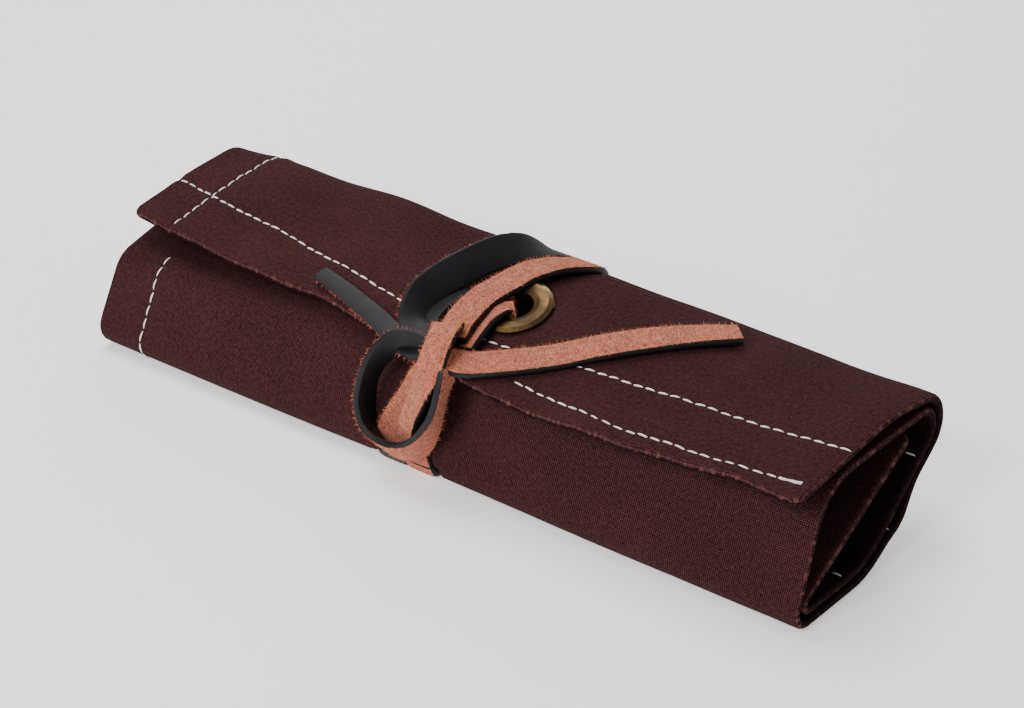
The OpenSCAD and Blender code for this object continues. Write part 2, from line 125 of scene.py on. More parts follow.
# %% A socket that can be calculated with
class Signal:
    """A socket of a material's tree. Its operators add Math nodes."""

    def __init__(self, tree, socket=None):
        self.tree, self.socket = tree, socket

    def plug(self, socket, value):
        """Links a signal to a socket, or sets the socket to a plain value."""
        if isinstance(value, Signal):
            self.tree.links.new(value.socket, socket)
        else:
            socket.default_value = value

    def node(self, kind, inputs=None, out=0, stops=None, **settings):
        """Adds a node: its settings first, then the values or links of its sockets."""
        made = self.tree.nodes.new("ShaderNode" + kind)
        for key, value in settings.items():
            setattr(made, key, value)
        if stops:
            ramp = made.color_ramp.elements
            while len(ramp) < len(stops):
                ramp.new(0.5)
            for element, (place, colour) in zip(ramp, stops):
                element.position, element.color = place, colour
        for key, value in (inputs or {}).items():
            self.plug(made.inputs[key], value)
        return Signal(self.tree, made.outputs[out])

    def math(self, operation, *values):
        return self.node("Math", dict(enumerate(values)), operation=operation)

    def __add__(self, other):
        return self.math("ADD", self, other)

    def __sub__(self, other):
        return self.math("SUBTRACT", self, other)

    def __rsub__(self, other):
        return self.math("SUBTRACT", other, self)

    def __mul__(self, other):
        return self.math("MULTIPLY", self, other)

    __radd__, __rmul__ = __add__, __mul__

    def clamp(self):
        return self.node("Clamp", {0: self})

    def part(self, axis):
        """One coordinate of a vector."""
        return self.node("SeparateXYZ", {0: self}, out="XYZ".index(axis))

    def noise(self, size, detail=3, roughness=0.5, out=0):
        """Noise whose lumps are about size metres across, read at this position."""
        inputs = {"Vector": self, "Scale": 1 / size, "Detail": detail, "Roughness": roughness}
        return self.node("TexNoise", inputs, out=out)

    def steps(self, low, high):
        """0 below low, 1 above high, and smooth between them."""
        inputs = {"Value": self, "From Min": low, "From Max": high}
        return self.node("MapRange", inputs, interpolation_type="SMOOTHSTEP")

    def blend(self, first, second):
        """A colour between two colours; this signal is the share of the second."""
        inputs = {"Factor": self.clamp(), 6: first, 7: second}
        return self.node("Mix", inputs, out=2, data_type="RGBA")


print("sums on sockets:", ", ".join(name for name in vars(Signal) if name.startswith("__r")))

# %% [markdown]
# A finish starts from Blender's Principled shader. What changes over the surface is linked to
# its colour, roughness and normal. What is the same all over is set on the shader's own socket.


# %% A material from a function
def srgb(red, green, blue):
    """A colour as a picture editor names it, in the linear values that Blender uses."""
    return tuple(((c / 255 + 0.055) / 1.055) ** 2.4 for c in (red, green, blue)) + (1,)


def finish_of(name, build, **constants):
    """A material: build(signal) returns the links, and constants are set on the sockets."""
    material = bpy.data.materials.new(name)
    material.use_nodes = True
    tree = material.node_tree
    shader = tree.nodes["Principled BSDF"]
    signal = Signal(tree)
    for key, value in {**constants, **build(signal)}.items():
        signal.plug(shader.inputs[key.replace("_", " ")], value)
    print("material", name, "with", len(tree.nodes), "nodes")
    return material


print("middle grey is", round(srgb(128, 128, 128)[0], 3), "of full light")

# %% [markdown]
# Canvas is a plain weave of dyed cotton. Warp and weft cross over and under each other every
# half millimetre, some threads are thicker, and pale specks sit where the dye did not take.
# The pattern follows the cloth's own flat coordinates, so that it bends with the roll.

# %% Canvas
WEAVE = 0.00056
HALF_TURN = math.pi


def weave_height(flat, pitch):
    """A plain weave at flat cloth coordinates in metres: its height and thread crossings, 0 to 1."""
    wobble = (flat.noise(0.004, 2) - 0.5) * 0.5
    across = flat.part("X") * (HALF_TURN / pitch) + wobble * HALF_TURN
    along = flat.part("Y") * (HALF_TURN / pitch) + wobble * HALF_TURN
    over = (across.math("SINE", across) * along.math("SINE", along) * 2.5 + 0.5).clamp()
    warp = across.math("ABSOLUTE", across.math("SINE", across))
    weft = along.math("ABSOLUTE", along.math("SINE", along))
    return over * warp + (1 - over) * weft, warp * weft


def canvas_look(gap_shade, dark, light, speck):
    """Cloth in four colours: painted shade in the thread gaps, two thread tones, and specks."""

    def build(signal):
        flat = signal.node("UVMap", uv_map="flat")
        height, dots = weave_height(flat, WEAVE)
        edge = signal.node("Attribute", attribute_name="edge", out=2)
        cloud = flat.noise(0.03, 4)
        thread = flat.noise(0.0011, 2)
        worn = (1 - edge.steps(0.0, 1.1)) * flat.noise(0.0016, 3).steps(0.5, 0.66)
        # Crowns where the threads cross are painted lighter, a painted highlight, on top of random tone.
        tone = (dots * 0.8 + (thread - 0.5) * 1.5 + (cloud - 0.5) * 0.7 + 0.15).clamp()
        colour = tone.blend(dark, light)
        # The gaps between threads take the darkest colour: painted shade.
        colour = ((1 - dots.steps(0.0, 0.42)) * 0.85).blend(colour, gap_shade)
        fleck = flat.noise(0.0005, 1).steps(0.66, 0.76) * flat.noise(0.006, 2).steps(0.35, 0.7)
        colour = (fleck * 0.55 + worn * 0.4).blend(colour, speck)
        relief = height + thread * 0.5 + flat.noise(0.0003, 2) * 0.4
        bump = signal.node("Bump", {"Height": relief, "Strength": 1.0, "Distance": 0.0003})
        return {"Base Color": colour, "Roughness": 0.98 - height * 0.12, "Normal": bump}

    return build


canvas_skin = finish_of(
    "canvas_weave",
    # The first colour is painted shade for the gaps between threads.
    canvas_look(srgb(15, 8, 9), srgb(42, 22, 24), srgb(92, 54, 55), srgb(150, 96, 90)),
    Specular_IOR_Level=0.06,
)
# The lining is this canvas again in darker colours: painted shade for the inside of the roll, its inner
# faces, pockets and hems.
lining_shade_skin = finish_of(
    "lining_weave_shaded",
    canvas_look(srgb(7, 3, 4), srgb(20, 10, 11), srgb(46, 27, 27), srgb(72, 46, 42)),
    Specular_IOR_Level=0.05,
)

# %% [markdown]
# The lace is one strip of leather with two faces. The flesh side is tan suede with a soft nap,
# and the grain side and the cut edges are dyed black and a little glossy, with fine pebbles.

# %% Leather
PEBBLE = 0.0006


def suede_look(signal):
    flat = signal.node("UVMap", uv_map="flat")
    nap, clump = flat.noise(0.00045, 3, 0.7), flat.noise(0.0017, 3)
    tone = (nap * 2.4 + clump * 0.9 - 1.2).clamp()
    colour = tone.blend(srgb(112, 48, 32), srgb(250, 152, 118))
    # The pores are sunk in the relief and painted dark: painted shade in the pores.
    pore = (1 - flat.noise(0.0009, 3, 0.65).steps(0.28, 0.42)) * 0.75
    colour = pore.blend(colour, srgb(64, 26, 18))
    shade = flat.noise(0.012, 2).steps(0.35, 0.75)
    colour = (shade * 0.35).blend(colour, srgb(138, 72, 50))
    relief = nap + clump * 0.8 - pore * 0.5
    bump = signal.node("Bump", {"Height": relief, "Strength": 1.0, "Distance": 0.0005})
    return {"Base Color": colour, "Roughness": 0.95 - clump * 0.1, "Normal": bump}


def grain_look(signal):
    flat = signal.node("UVMap", uv_map="flat")
    cells = signal.node("TexVoronoi", {"Vector": flat, "Scale": 1 / PEBBLE}, feature="F1")
    crease = flat.noise(0.004, 4)
    tone = (crease * 0.8 + cells * 0.3).clamp()
    colour = tone.blend(srgb(7, 6, 8), srgb(24, 22, 26))
    bump = signal.node("Bump", {"Height": cells * 0.4 + crease, "Strength": 0.4, "Distance": 0.0001})
    return {"Base Color": colour, "Roughness": 0.46 + crease * 0.25, "Normal": bump}


suede_skin = finish_of(
    "suede_nap", suede_look, Sheen_Weight=0.12, Sheen_Roughness=0.5, Specular_IOR_Level=0.1)
grain_skin = finish_of("grain_leather", grain_look, Specular_IOR_Level=0.28)

# %% [markdown]
# The grommet is old brass: gold where hands have rubbed it, and dark where the polish stays in
# the corners. The thread is bleached cotton, two plies twisted together. The floor is plain
# and pale, and glows a little, so that it stays light where the lamps do not reach.

# %% Brass, thread and floor
TWIST = 0.0011


def brass_look(signal):
    place = signal.node("TexCoord", out=3)
    patina = place.noise(0.009, 5, 0.6).steps(0.3, 0.7)
    scratches = place.noise(0.0004, 3)
    colour = patina.blend(srgb(124, 98, 58), srgb(58, 47, 34))
    bump = signal.node("Bump", {"Height": scratches, "Strength": 0.25, "Distance": 0.0001})
    return {"Base Color": colour, "Roughness": 0.22 + patina * 0.3, "Normal": bump}


def thread_look(signal):
    flat = signal.node("UVMap", uv_map="flat")
    turns = (flat.part("Y") * 2 + flat.part("X")) * (2 * math.pi / TWIST)
    twist = turns.math("ABSOLUTE", turns.math("SINE", turns))
    fluff = flat.noise(0.0002, 2)
    # The grooves between the plies are painted darker: painted shade.
    colour = (twist * 0.7 + fluff * 0.4).clamp().blend(srgb(214, 205, 196), srgb(255, 252, 248))
    bump = signal.node("Bump", {"Height": twist + fluff * 0.3, "Strength": 0.7, "Distance": 0.0001})
    return {"Base Color": colour, "Roughness": 0.7 + fluff * 0.2, "Normal": bump}


def floor_look(signal):
    place = signal.node("TexCoord", out=3)
    tone = place.noise(0.4, 2).blend(srgb(244, 244, 244), srgb(250, 250, 250))
    return {"Base Color": tone, "Roughness": 0.8}


brass_skin = finish_of("aged_brass", brass_look, Metallic=1.0)
thread_skin = finish_of("twisted_thread", thread_look, Sheen_Weight=0.1)
floor_skin = finish_of(
    "pale_floor", floor_look, Emission_Color=(1, 1, 1, 1), Emission_Strength=0.5)

# %% [markdown]
# The cloth is one strip wound round a row of corner circles, as a ribbon runs round pegs. Each
# circle is (y, z, radius) in millimetres, at the left end, where the lace draws the roll in,
# and at the right end. Between these the circles shift smoothly. The first and the last have
# no radius: they are the free edge and the inner edge of the strip.

# %% The corner circles
FREE, CROWN, REAR, FOOT, TOE, BROW, INNER_REAR, INNER_FOOT, HAIRPIN, INNER_EDGE = range(10)
LEFT_X, RIGHT_X, LACE_X = -115.0, 116.0, 0.0
REAR_C, FOOT_C, TOE_C = (53.3, 33, 9.6), (36, 12, 12), (3.6, 6, 6)
HAIRPIN_C, INNER_FOOT_C = (4, 6.8, 3.2), (20, 29.6, 26)
AT_LEFT = np.array([
    (13, 36.6, 0), (43, -18.6, 60), (52.9, 32.4, 9.6), FOOT_C, TOE_C,
    (13, 18.4, 9), (51.2, 29.4, 6), INNER_FOOT_C, HAIRPIN_C, (42, 26, 0)])
AT_LACE = np.array([
    (-2, 34.2, 0), (38, -7.6, 50), (52.5, 31.9, 9.6), FOOT_C, (4.1, 6.3, 6),
    (19.5, 18.5, 16), (52.0, 30.8, 6.6), INNER_FOOT_C, HAIRPIN_C, (46.5, 33.2, 0)])
AT_RIGHT = np.array([
    (-4.5, 39.6, 0), (36, -6.6, 50), (52.2, 31.5, 9.6), (24, 20, 20), TOE_C,
    (19.5, 22.0, 16), (52.0, 31.4, 6.6), INNER_FOOT_C, HAIRPIN_C, (46.2, 34.0, 0)])
FOOT_SHIFT = AT_RIGHT[FOOT] - AT_LEFT[FOOT]
FOOT_SHIFT_START, FOOT_SHIFT_WIDTH, FOOT_SHIFT_POWER = 25, 90, 1.5
END_SAG = np.array([(0, 0, 0), (0, -1.6, 0), (-0.8, -1.7, 0), (0, 0, 0), (0, 0, 0),
                    (0, -1, 0), (-0.6, -1.5, 0), (0, 0, 0), (0, 0, 0), (0, -1, 0)])
END_SAG_WIDTH = 22
DIP_WIDTH = 34
EDGE_X = (-115, -93, -55, -38, -20, 0, 15, 30, 44, 59, 74, 88, 102, 115)
EDGE_Y = (13.5, 9.5, 8.2, 7.6, 4.6, 0.2, -2.2, -3.6, -4.2, -4.5, -4.5, -4.5, -4.5, -4.5)
EDGE_Z = (36.5, 36.3, 36.2, 36, 35.2, 34.2, 34.4, 35, 35.4, 36.1, 37.3, 38.5, 39.3, 39.6)
NEIGHBOURS = range(-8, 9, 2)


def smooth_at(x, xs, ys):
    """A curve through points, rounded by averaging it over a few millimetres."""
    return float(np.mean([np.interp(x + shift, xs, ys) for shift in NEIGHBOURS]))


def circles_at(x):
    """The corner circles of the roll at x, drawn in at the lace and sagging at the left end."""
    share = (x - LEFT_X) / (RIGHT_X - LEFT_X)
    dip = math.exp(-(((x - LACE_X) / DIP_WIDTH) ** 2))
    circles = AT_LEFT + (AT_RIGHT - AT_LEFT) * share + (AT_LACE - (AT_LEFT + AT_RIGHT) / 2) * dip
    circles += END_SAG * math.exp(-(((x - LEFT_X) / END_SAG_WIDTH) ** 2))
    opened = min(1, max(0, (x - FOOT_SHIFT_START) / FOOT_SHIFT_WIDTH)) ** FOOT_SHIFT_POWER
    circles[FOOT] = AT_LEFT[FOOT] + FOOT_SHIFT * opened
    circles[FREE] = (smooth_at(x, EDGE_X, EDGE_Y), smooth_at(x, EDGE_X, EDGE_Z), 0)
    return circles


for x in (LEFT_X, LACE_X, RIGHT_X):
    print("at x", x, "the free edge is at y and z", circles_at(x)[FREE][:2].round(1))

# %% [markdown]
# A section of the roll is the path that touches the circles in turn: a straight tangent from
# one to the next, and an arc round each. The strip winds clockwise, so its heading only falls.
# A place on the cloth is then x along the roll and s along the strip, from the free edge.

# %% The section of the roll
ARC_STEP = 4.0


class Section:
    """The outer face of the strip at one x: s is the way along it from the free edge."""

    def __init__(self, x):
        circles = circles_at(x)
        headings, before = [], 90.0
        for (y0, z0, r0), (y1, z1, r1) in zip(circles[:-1], circles[1:]):
            away = math.hypot(y1 - y0, z1 - z0)
            turn = math.degrees(math.atan2(z1 - z0, y1 - y0) + math.asin((r1 - r0) / away))
            turn -= 360 * math.ceil((turn - before) / 360)
            headings.append(turn)
            before = turn
        self.start, self.end, self.turn_in = {}, {}, {}
        path, self.radius, s = [], circles[:, 2], 0.0
        for i, (y, z, r) in enumerate(circles):
            first, last = headings[max(i - 1, 0)], headings[min(i, len(headings) - 1)]
            steps = 1 if r == 0 else max(2, math.ceil((first - last) / ARC_STEP))
            self.turn_in[i] = first
            for k in range(steps + (r > 0)):
                heading = first + (last - first) * k / steps
                bend = math.radians(heading)
                point = (y - r * math.sin(bend), z + r * math.cos(bend))
                if path:
                    s += math.hypot(point[0] - path[-1][1], point[1] - path[-1][2])
                path.append((s, *point, heading))
                if k == 0:
                    self.start[i] = s
            self.end[i] = s
        self.path, self.length = np.array(path).T, s

    def at(self, s, depth):
        """The point at s, so deep inside the outer face, and the outward normal there."""
        s_all, ys, zs, turns = self.path
        bend = np.radians(np.interp(s, s_all, turns))
        out = np.stack([-np.sin(bend), np.cos(bend)])
        return np.stack([np.interp(s, s_all, ys), np.interp(s, s_all, zs)]) - depth * out, out


sections = {}


def section(x):
    """The section at x, worked out once for each hundredth of a millimetre."""
    key = round(float(x), 2)
    if key not in sections:
        sections[key] = Section(key)
    return sections[key]


for x in (LEFT_X, LACE_X, RIGHT_X):
    print("strip at x", x, "is", round(section(x).length, 1), "mm long")

# %% [markdown]
# The rows of stitches wander a little, as a hand guides them. Each is a line through points
# read along the edge of the flap. The grommet and the lace have their places here too, because
# the cloth gives way to both.

# %% Where the seams and the lace run
END_SEAM_X = -99.0
SIDE_SEAM_X = (-115, -103, -92, -77, -64, -55, -42, -27, -18, 0, 14, 23, 43, 70, 90, 103, 116)
SIDE_SEAM_S = (
    19.2, 18.9, 18, 16.7, 16, 13.8, 12.5, 11.6, 12, 13.8, 15.6, 18.4, 20.2, 21, 21.5, 23, 23.5)
POCKET_SEAM_X = (26, 36, 46, 56, 80, 97, 104, 111, 116)
POCKET_SEAM_S = (7.2, 6.9, 5.9, 5, 4.8, 3.9, 5, 6.8, 7)
POCKET_MOUTH_X, FOLD, THICK, GAP = 26.0, 3.0, 1.1, 0.1
LINED = 2 * THICK + GAP
STITCH_PITCH = 3.65
GROMMET_X, GROMMET_Y = 9.0, 26.0
LACE_W, LACE_T = 9.0, 2.0
STRAND_X, PITCH, BASE_Z = -1.0, LACE_W + 0.4, LACE_T / 2 + 0.15
DRIFT, DRIFT_HEIGHT = 12, 46


def side_seam(x):
    """The row that holds the hem of the free edge."""
    return smooth_at(x, SIDE_SEAM_X, SIDE_SEAM_S)


def pocket_seam(x):
    """The row that closes the pockets, close to the free edge."""
    return smooth_at(x, POCKET_SEAM_X, POCKET_SEAM_S)


def drift(z):
    """How far a strand has wandered to the right at a height, on its way round the roll."""
    return DRIFT * (z - BASE_Z) / DRIFT_HEIGHT


for x in (LEFT_X, LACE_X, RIGHT_X):
    print("at x", x, "the side seam is", round(side_seam(x), 1), "mm from the free edge")

# %% [markdown]
# Real cloth is never smooth. It lies in low waves, it is drawn down along every row of
# stitches and puckers beside it, the free edge flutters, and under the roll the lace presses a
# channel into it. At the open right end the slack of the layers bulges out near the table.
# One function gives this relief at each place of the strip, and all layers share it.

# %% The relief of the cloth
WAVE_COUNT = 9
LACE_HALF, LACE_SHOULDER = PITCH + 0.4, 1.6
GROOVE, CHANNEL, FLATTENED = 0.7, LACE_T + 0.35, 0.8
PUCKER, PUCKER_PULL, PUCKER_WIDTH = 0.22, 0.12, 0.9
RIDGE_AWAY, RIDGE_WIDTH = 2.6, 1.6
RIPPLE, RIPPLE_PITCH, RIPPLE_WIDTH = 0.1, 9.3, 6
FLUTTER_START, FLUTTER_FULL = 26, 4
CALM_WIDTH, SLACK_WIDTH = 12, 40
BELLY, HOLLOW = 2.4, 0.6
STEEP, FAR = 0.3, 1e3
waves = [
    (dice.uniform(0.02, 0.12), dice.uniform(0.015, 0.10), dice.uniform(0, 6.28))
    for _ in range(WAVE_COUNT)]


def hump(distance, width):
    """A bell: 1 at no distance, and gone after about two widths."""
    return np.exp(-((distance / width) ** 2))


def ramp(value, low, high):
    """0 at low, 1 at high and smooth between them; low may be the larger."""
    t = np.clip((value - low) / (high - low), 0, 1)
    return t * t * (3 - 2 * t)


def relief(x, s):
    """How far the cloth stands out of the plain section at x and s, in millimetres."""
    out = sum(0.05 / (a + b) ** 0.35 * np.sin(a * x * 2.2 + b * s * 2.0 + c) for a, b, c in waves)
    rows = [(s - side_seam(x), x), (x - END_SEAM_X, s)]
    if x > POCKET_MOUTH_X - 1:
        rows.append((s - pocket_seam(x), x))
    for across, along in rows:
        pull = 0.5 + 0.5 * np.cos(2 * math.pi * along / STITCH_PITCH)
        out = out - (PUCKER + PUCKER_PULL * pull) * hump(across, PUCKER_WIDTH)
        out = out + PUCKER * hump(np.abs(across) - RIDGE_AWAY, RIDGE_WIDTH)
        ripple = RIPPLE * np.sin(2 * math.pi * along / RIPPLE_PITCH + across * 0.4)
        out = out + ripple * hump(across, RIPPLE_WIDTH)
    free = ramp(s, FLUTTER_START, FLUTTER_FULL)
    out = out + free * (0.35 * np.sin(x / 7.9 + 0.6) + 0.25 * np.sin(x / 3.7 + s * 0.1))
    here = section(x)
    rear, foot, toe = here.start[REAR], here.start[FOOT], here.start[TOE]
    under = ramp(s, foot + 8, here.end[FOOT] + 1) * ramp(s, here.end[TOE] + 6, toe + 3)
    (_, height), (_, upward) = here.at(s, 0)
    away = abs(x - STRAND_X + PITCH / 2 - drift(height))
    beside = ramp(away, LACE_HALF + LACE_SHOULDER, LACE_HALF)
    wrapped = ramp(s, rear - 2, rear + 4) * ramp(s, toe + 1, toe - 1)
    pressed = beside * (GROOVE * wrapped + (CHANNEL - GROOVE) * under)
    out = out * (1 - under) * (1 - FLATTENED * wrapped * beside) - pressed
    if x > RIGHT_X - CALM_WIDTH:
        out = out * ramp(x, RIGHT_X + CALM_WIDTH / 2, RIGHT_X - CALM_WIDTH)
    if x > RIGHT_X - SLACK_WIDTH:
        slack = ramp(x, RIGHT_X - SLACK_WIDTH, RIGHT_X - 6)
        out = out + slack * (BELLY * hump(s - foot + 8, 6) - HOLLOW * hump(s - foot + 20, 5))
    above_table = np.where(upward < -STEEP, height / np.maximum(-upward, STEEP), FAR)
    return np.minimum(out, above_table)


def place(x, s, depth=0.0):
    """Points of the cloth in metres, at x and a row of s, with their outward normals."""
    s, depth = np.atleast_1d(np.asarray(s, float)), np.asarray(depth, float)
    (y, z), (ny, nz) = section(x).at(s, depth - relief(x, s))
    points = np.stack([np.full_like(y, x), y, z], 1) * MM
    return points, np.stack([np.zeros_like(ny), ny, nz], 1)


print("the lace's channel under the roll is", round(CHANNEL, 2), "mm deep,", len(waves), "waves")

# %% [markdown]
# Cloth, stitches and lace are all built the same way: points and faces come from a rule, and
# the flat shape of the piece is kept as a UV map, so that its finish bends with it. Points that
# fall together are welded.

# %% A mesh from points
WELD, THINNEST = 2e-6, 1e-7
SMOOTH_ANGLE = 40


def mesh_piece(name, points, faces, flat, skins, skin_of=None, edge=None):
    """An object from points and faces, with its flat map and its materials."""
    data = bpy.data.meshes.new(name)
    data.from_pydata([tuple(p) for p in points], [], faces)
    piece = bpy.data.objects.new(name, data)
    bpy.context.collection.objects.link(piece)
    layer = data.uv_layers.new(name="flat")
    index = np.empty(len(data.loops), int)
    data.loops.foreach_get("vertex_index", index)
    layer.data.foreach_set("uv", np.asarray(flat, float)[index].astype(np.float32).ravel())
    if edge is not None:
        border = data.attributes.new("edge", "FLOAT", "POINT")
        border.data.foreach_set("value", np.asarray(edge, np.float32))
    for skin in skins:
        data.materials.append(skin)
    if skin_of is not None:
        data.polygons.foreach_set("material_index", skin_of)
    welded = bmesh.new()
    welded.from_mesh(data)
    bmesh.ops.remove_doubles(welded, verts=welded.verts, dist=WELD)
    bmesh.ops.dissolve_degenerate(welded, edges=welded.edges, dist=THINNEST)
    welded.to_mesh(data)
    welded.free()
    return piece


def smooth(piece, angle=SMOOTH_ANGLE):
    """Shades a piece smooth, but keeps edges sharper than the angle."""
    bpy.ops.object.select_all(action="DESELECT")
    bpy.context.view_layer.objects.active = piece
    piece.select_set(True)
    bpy.ops.object.shade_smooth_by_angle(angle=math.radians(angle))
    piece.select_set(False)
    return piece


print("points closer than", WELD / MM, "mm are welded")

# %% [markdown]
# The grid of a piece has columns along the roll and rows along the strip. It needs close lines
# where the cloth folds over, and few where it lies flat. Each stretch of the strip has the
# same number of rows at every x, so the faces stay four-sided.

# %% The lines of a grid
RIM_STEPS = 5
CLOSEST = 0.4
MEASURED_X = (-115, -50, 0, 50, 115)


def rim(radius):
    """Distances from a rounded border at which the grid has a line."""
    return [radius * (1 - math.cos(math.pi / 2 * k / RIM_STEPS)) for k in range(RIM_STEPS + 1)]


def spread(low, high, step, extra=()):
    """Lines about a step apart, with extra lines where the cloth bends sharply."""
    even = np.linspace(low, high, max(2, math.ceil((high - low) / step) + 1))
    kept = [v for v in even[1:-1] if all(abs(v - e) > step * CLOSEST for e in extra)]
    return sorted([low, high] + kept + [e for e in extra if low < e < high])


def rows_between(marks, step):
    """Rows from mark to mark, as many at every x, so that the grid stays regular."""
    counts = [
        max(1, math.ceil(max(b(x) - a(x) for x in MEASURED_X) / step))
        for a, b in zip(marks[:-1], marks[1:])]

    def rows(x):
        places = [marks[0](x)]
        for a, b, n in zip(marks[:-1], marks[1:], counts):
            places += list(np.linspace(a(x), b(x), n + 1)[1:])
        return np.array(places)

    return rows


print("a rim of 1 mm has lines at", [round(line, 2) for line in rim(1)])

# %% [markdown]
# A piece of cloth is modelled as cut: an outer face, an inner face, and walls between them. At
# a folded border the two faces meet in a half circle, and the corners are rounded by moving
# their points from a square grid onto a round one.

# %% A piece of cloth
CORNER = 3.2
INNER_SHIFT = 0.5


def sheet_faces(across, along):
    """The faces of both sides of a grid and of the wall round it, with their materials."""
    under = across * along
    faces, skin_of = [], []
    for i in range(across - 1):
        for j in range(along - 1):
            a, b = i * along + j, i * along + j + 1
            d, c = a + along, b + along
            faces += [(a, d, c, b), (a + under, b + under, c + under, d + under)]
            skin_of += [0, 1]
    ring = [i * along for i in range(across)] + [(across - 1) * along + j for j in range(1, along)]
    ring += [i * along + along - 1 for i in range(across - 2, -1, -1)]
    ring += list(range(along - 2, 0, -1))
    for a, b in zip(ring, ring[1:] + ring[:1]):
        faces.append((b, a, a + under, b + under))
        skin_of.append(0)
    return faces, skin_of


def cloth(name, columns, rows, outer, inner, fold_radius, sides, skins):
    """A closed sheet. sides says which borders are folded: left, right, free, last."""
    points, flat, edges = [[], []], [], []
    for x in columns:
        s = rows(x)
        from_side = min(
            [x - columns[0]] * ("left" in sides) + [columns[-1] - x] * ("right" in sides) + [FAR])
        from_end = np.full_like(s, FAR)
        if "free" in sides:
            from_end = np.minimum(from_end, s - s[0])
        if "last" in sides:
            from_end = np.minimum(from_end, s[-1] - s)
        border = np.minimum(from_side, from_end)
        moved_x, moved_s = np.full_like(s, x), s.copy()
        for i in np.nonzero((from_end < CORNER) & (from_side < CORNER))[0]:
            sideways, endways = CORNER - from_side, CORNER - from_end[i]
            shrink = 1 - max(sideways, endways) / math.hypot(sideways, endways)
            moved_x[i] += shrink * sideways * (1 if x < 0 else -1)
            moved_s[i] += shrink * endways * (1 if s[i] - s[0] < CORNER else -1)
        near = np.clip(border, 0, fold_radius)
        curl = fold_radius - np.sqrt(np.maximum(fold_radius**2 - (fold_radius - near) ** 2, 0))
        curl = np.where(border < fold_radius, curl, 0)
        inside = np.where(border < inner[1], inner[0], inner[2])
        for side, depth in enumerate((outer + curl, inside - curl)):
            face, _ = place(x, moved_s, depth)
            face[:, 0] = moved_x * MM
            points[side].append(face)
        flat.append(np.stack([moved_x, moved_s], 1) * MM)
        edges.append(border)
    faces, skin_of = sheet_faces(len(columns), len(points[0][0]))
    flat = np.concatenate(flat)
    piece = mesh_piece(
        name, np.concatenate(points[0] + points[1]), faces,
        np.concatenate([flat, flat + (INNER_SHIFT, 0)]), skins, skin_of, np.concatenate(edges * 2))
    print(name, len(piece.data.polygons), "faces")
    return smooth(piece)


print("corners are rounded to", CORNER, "mm")

# %% [markdown]
# The strip is cut where the roll bends when it is opened. Each cut runs along the roll in the
# middle of a panel that moves as one, so the pieces on both sides of it always meet.

# %% Where the strip is cut
def at_heading(circle, heading):
    """The place where the strip has turned to a heading on its way round a circle."""
    return lambda x: section(x).start[circle] + section(x).radius[circle] * math.radians(
        section(x).turn_in[circle] - heading)


def midway(first, second):
    """The middle of the straight stretch between two circles."""
    return lambda x: (section(x).end[first] + section(x).start[second]) / 2


def from_free(way):
    """A line this far from the free edge."""
    return lambda x: way


def from_inner(way):
    """A line this far from the inner edge."""
    return lambda x: section(x).length - way


FLAP_CUT, BACK_CUT = at_heading(REAR, -68), midway(REAR, FOOT)
BASE_CUT, INNER_CUT = midway(FOOT, TOE), midway(INNER_FOOT, HAIRPIN)
PANELS = {
    "flap": (from_free(0), FLAP_CUT),
    "back": (FLAP_CUT, BACK_CUT),
    "base": (BACK_CUT, BASE_CUT),
    "body": (BASE_CUT, INNER_CUT),
    "inner": (INNER_CUT, from_inner(0)),
}
for panel, (first, last) in PANELS.items():
    print(panel, "runs from", round(first(LACE_X), 1), "to", round(last(LACE_X), 1), "mm at the lace")

# %% [markdown]
# Where a panel crosses a joint, the table gives its first body, its second body and one place on
# each side of the joint, on the corner circles of the frame. These pieces only have their place
# baked in. The body panel crosses no joint and rides on the core.

# %% How the panels bend
def circle_point(circle, heading, further=0.0):
    """A point on a corner circle at a heading, or further on along that heading, in metres."""
    y, z, r = circle
    bend = math.radians(heading)
    out = (-math.sin(bend), math.cos(bend))
    ahead = (math.cos(bend), math.sin(bend))
    y, z = y + r * out[0] + further * ahead[0], z + r * out[1] + further * ahead[1]
    return (0, y * MM, z * MM)


BACK_HEADING = -124.42
BENDS = {
    "flap": ("flap", "spine", circle_point(REAR_C, -10), circle_point(REAR_C, -58)),
    "back": ("spine", "back", circle_point(REAR_C, -76), circle_point(REAR_C, -122)),
    "base": ("back", "core", circle_point(FOOT_C, BACK_HEADING, -9), circle_point(FOOT_C, -160)),
    "inner": ("core", "inner_end", (0, 0.002, 0.006), (0, 0.002, 0.0095)),
}
CORE = "core"


def hang(piece, panel):
    """Hangs a piece of the body panel on the core; other pieces only have their place baked in."""
    if panel in BENDS:
        first, second, start, end = BENDS[panel]
        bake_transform(piece)
        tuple(start)
        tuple(end)
    else:
        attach(piece, CORE)
    return piece


def flat_size(columns, rows):
    """The size that a piece was cut to, in metres."""
    lengths = [rows(x)[-1] - rows(x)[0] for x in columns]
    return ((columns[-1] - columns[0]) * MM, float(np.mean(lengths)) * MM)


for panel, (first, second, start, end) in BENDS.items():
    print(panel, "bends from", first, "to", second)

# %% [markdown]
# The canvas shell is one cut of cloth. Its borders are turned in, so they are round and twice
# as thick there; further in it is a single layer. The pocket layer and the hems lie against
# the step of the fold, which makes them look like the same cloth coming back.

# %% The canvas shell
STEP = 1.9
FOLD_RADIUS, FOLD_STEP = LINED / 2, 0.02
BESIDE_ROW, BESIDE_COLUMN = (-1.6, -0.7, 0, 0.7, 1.6), (-1.6, -0.8, 0, 0.8, 1.6)


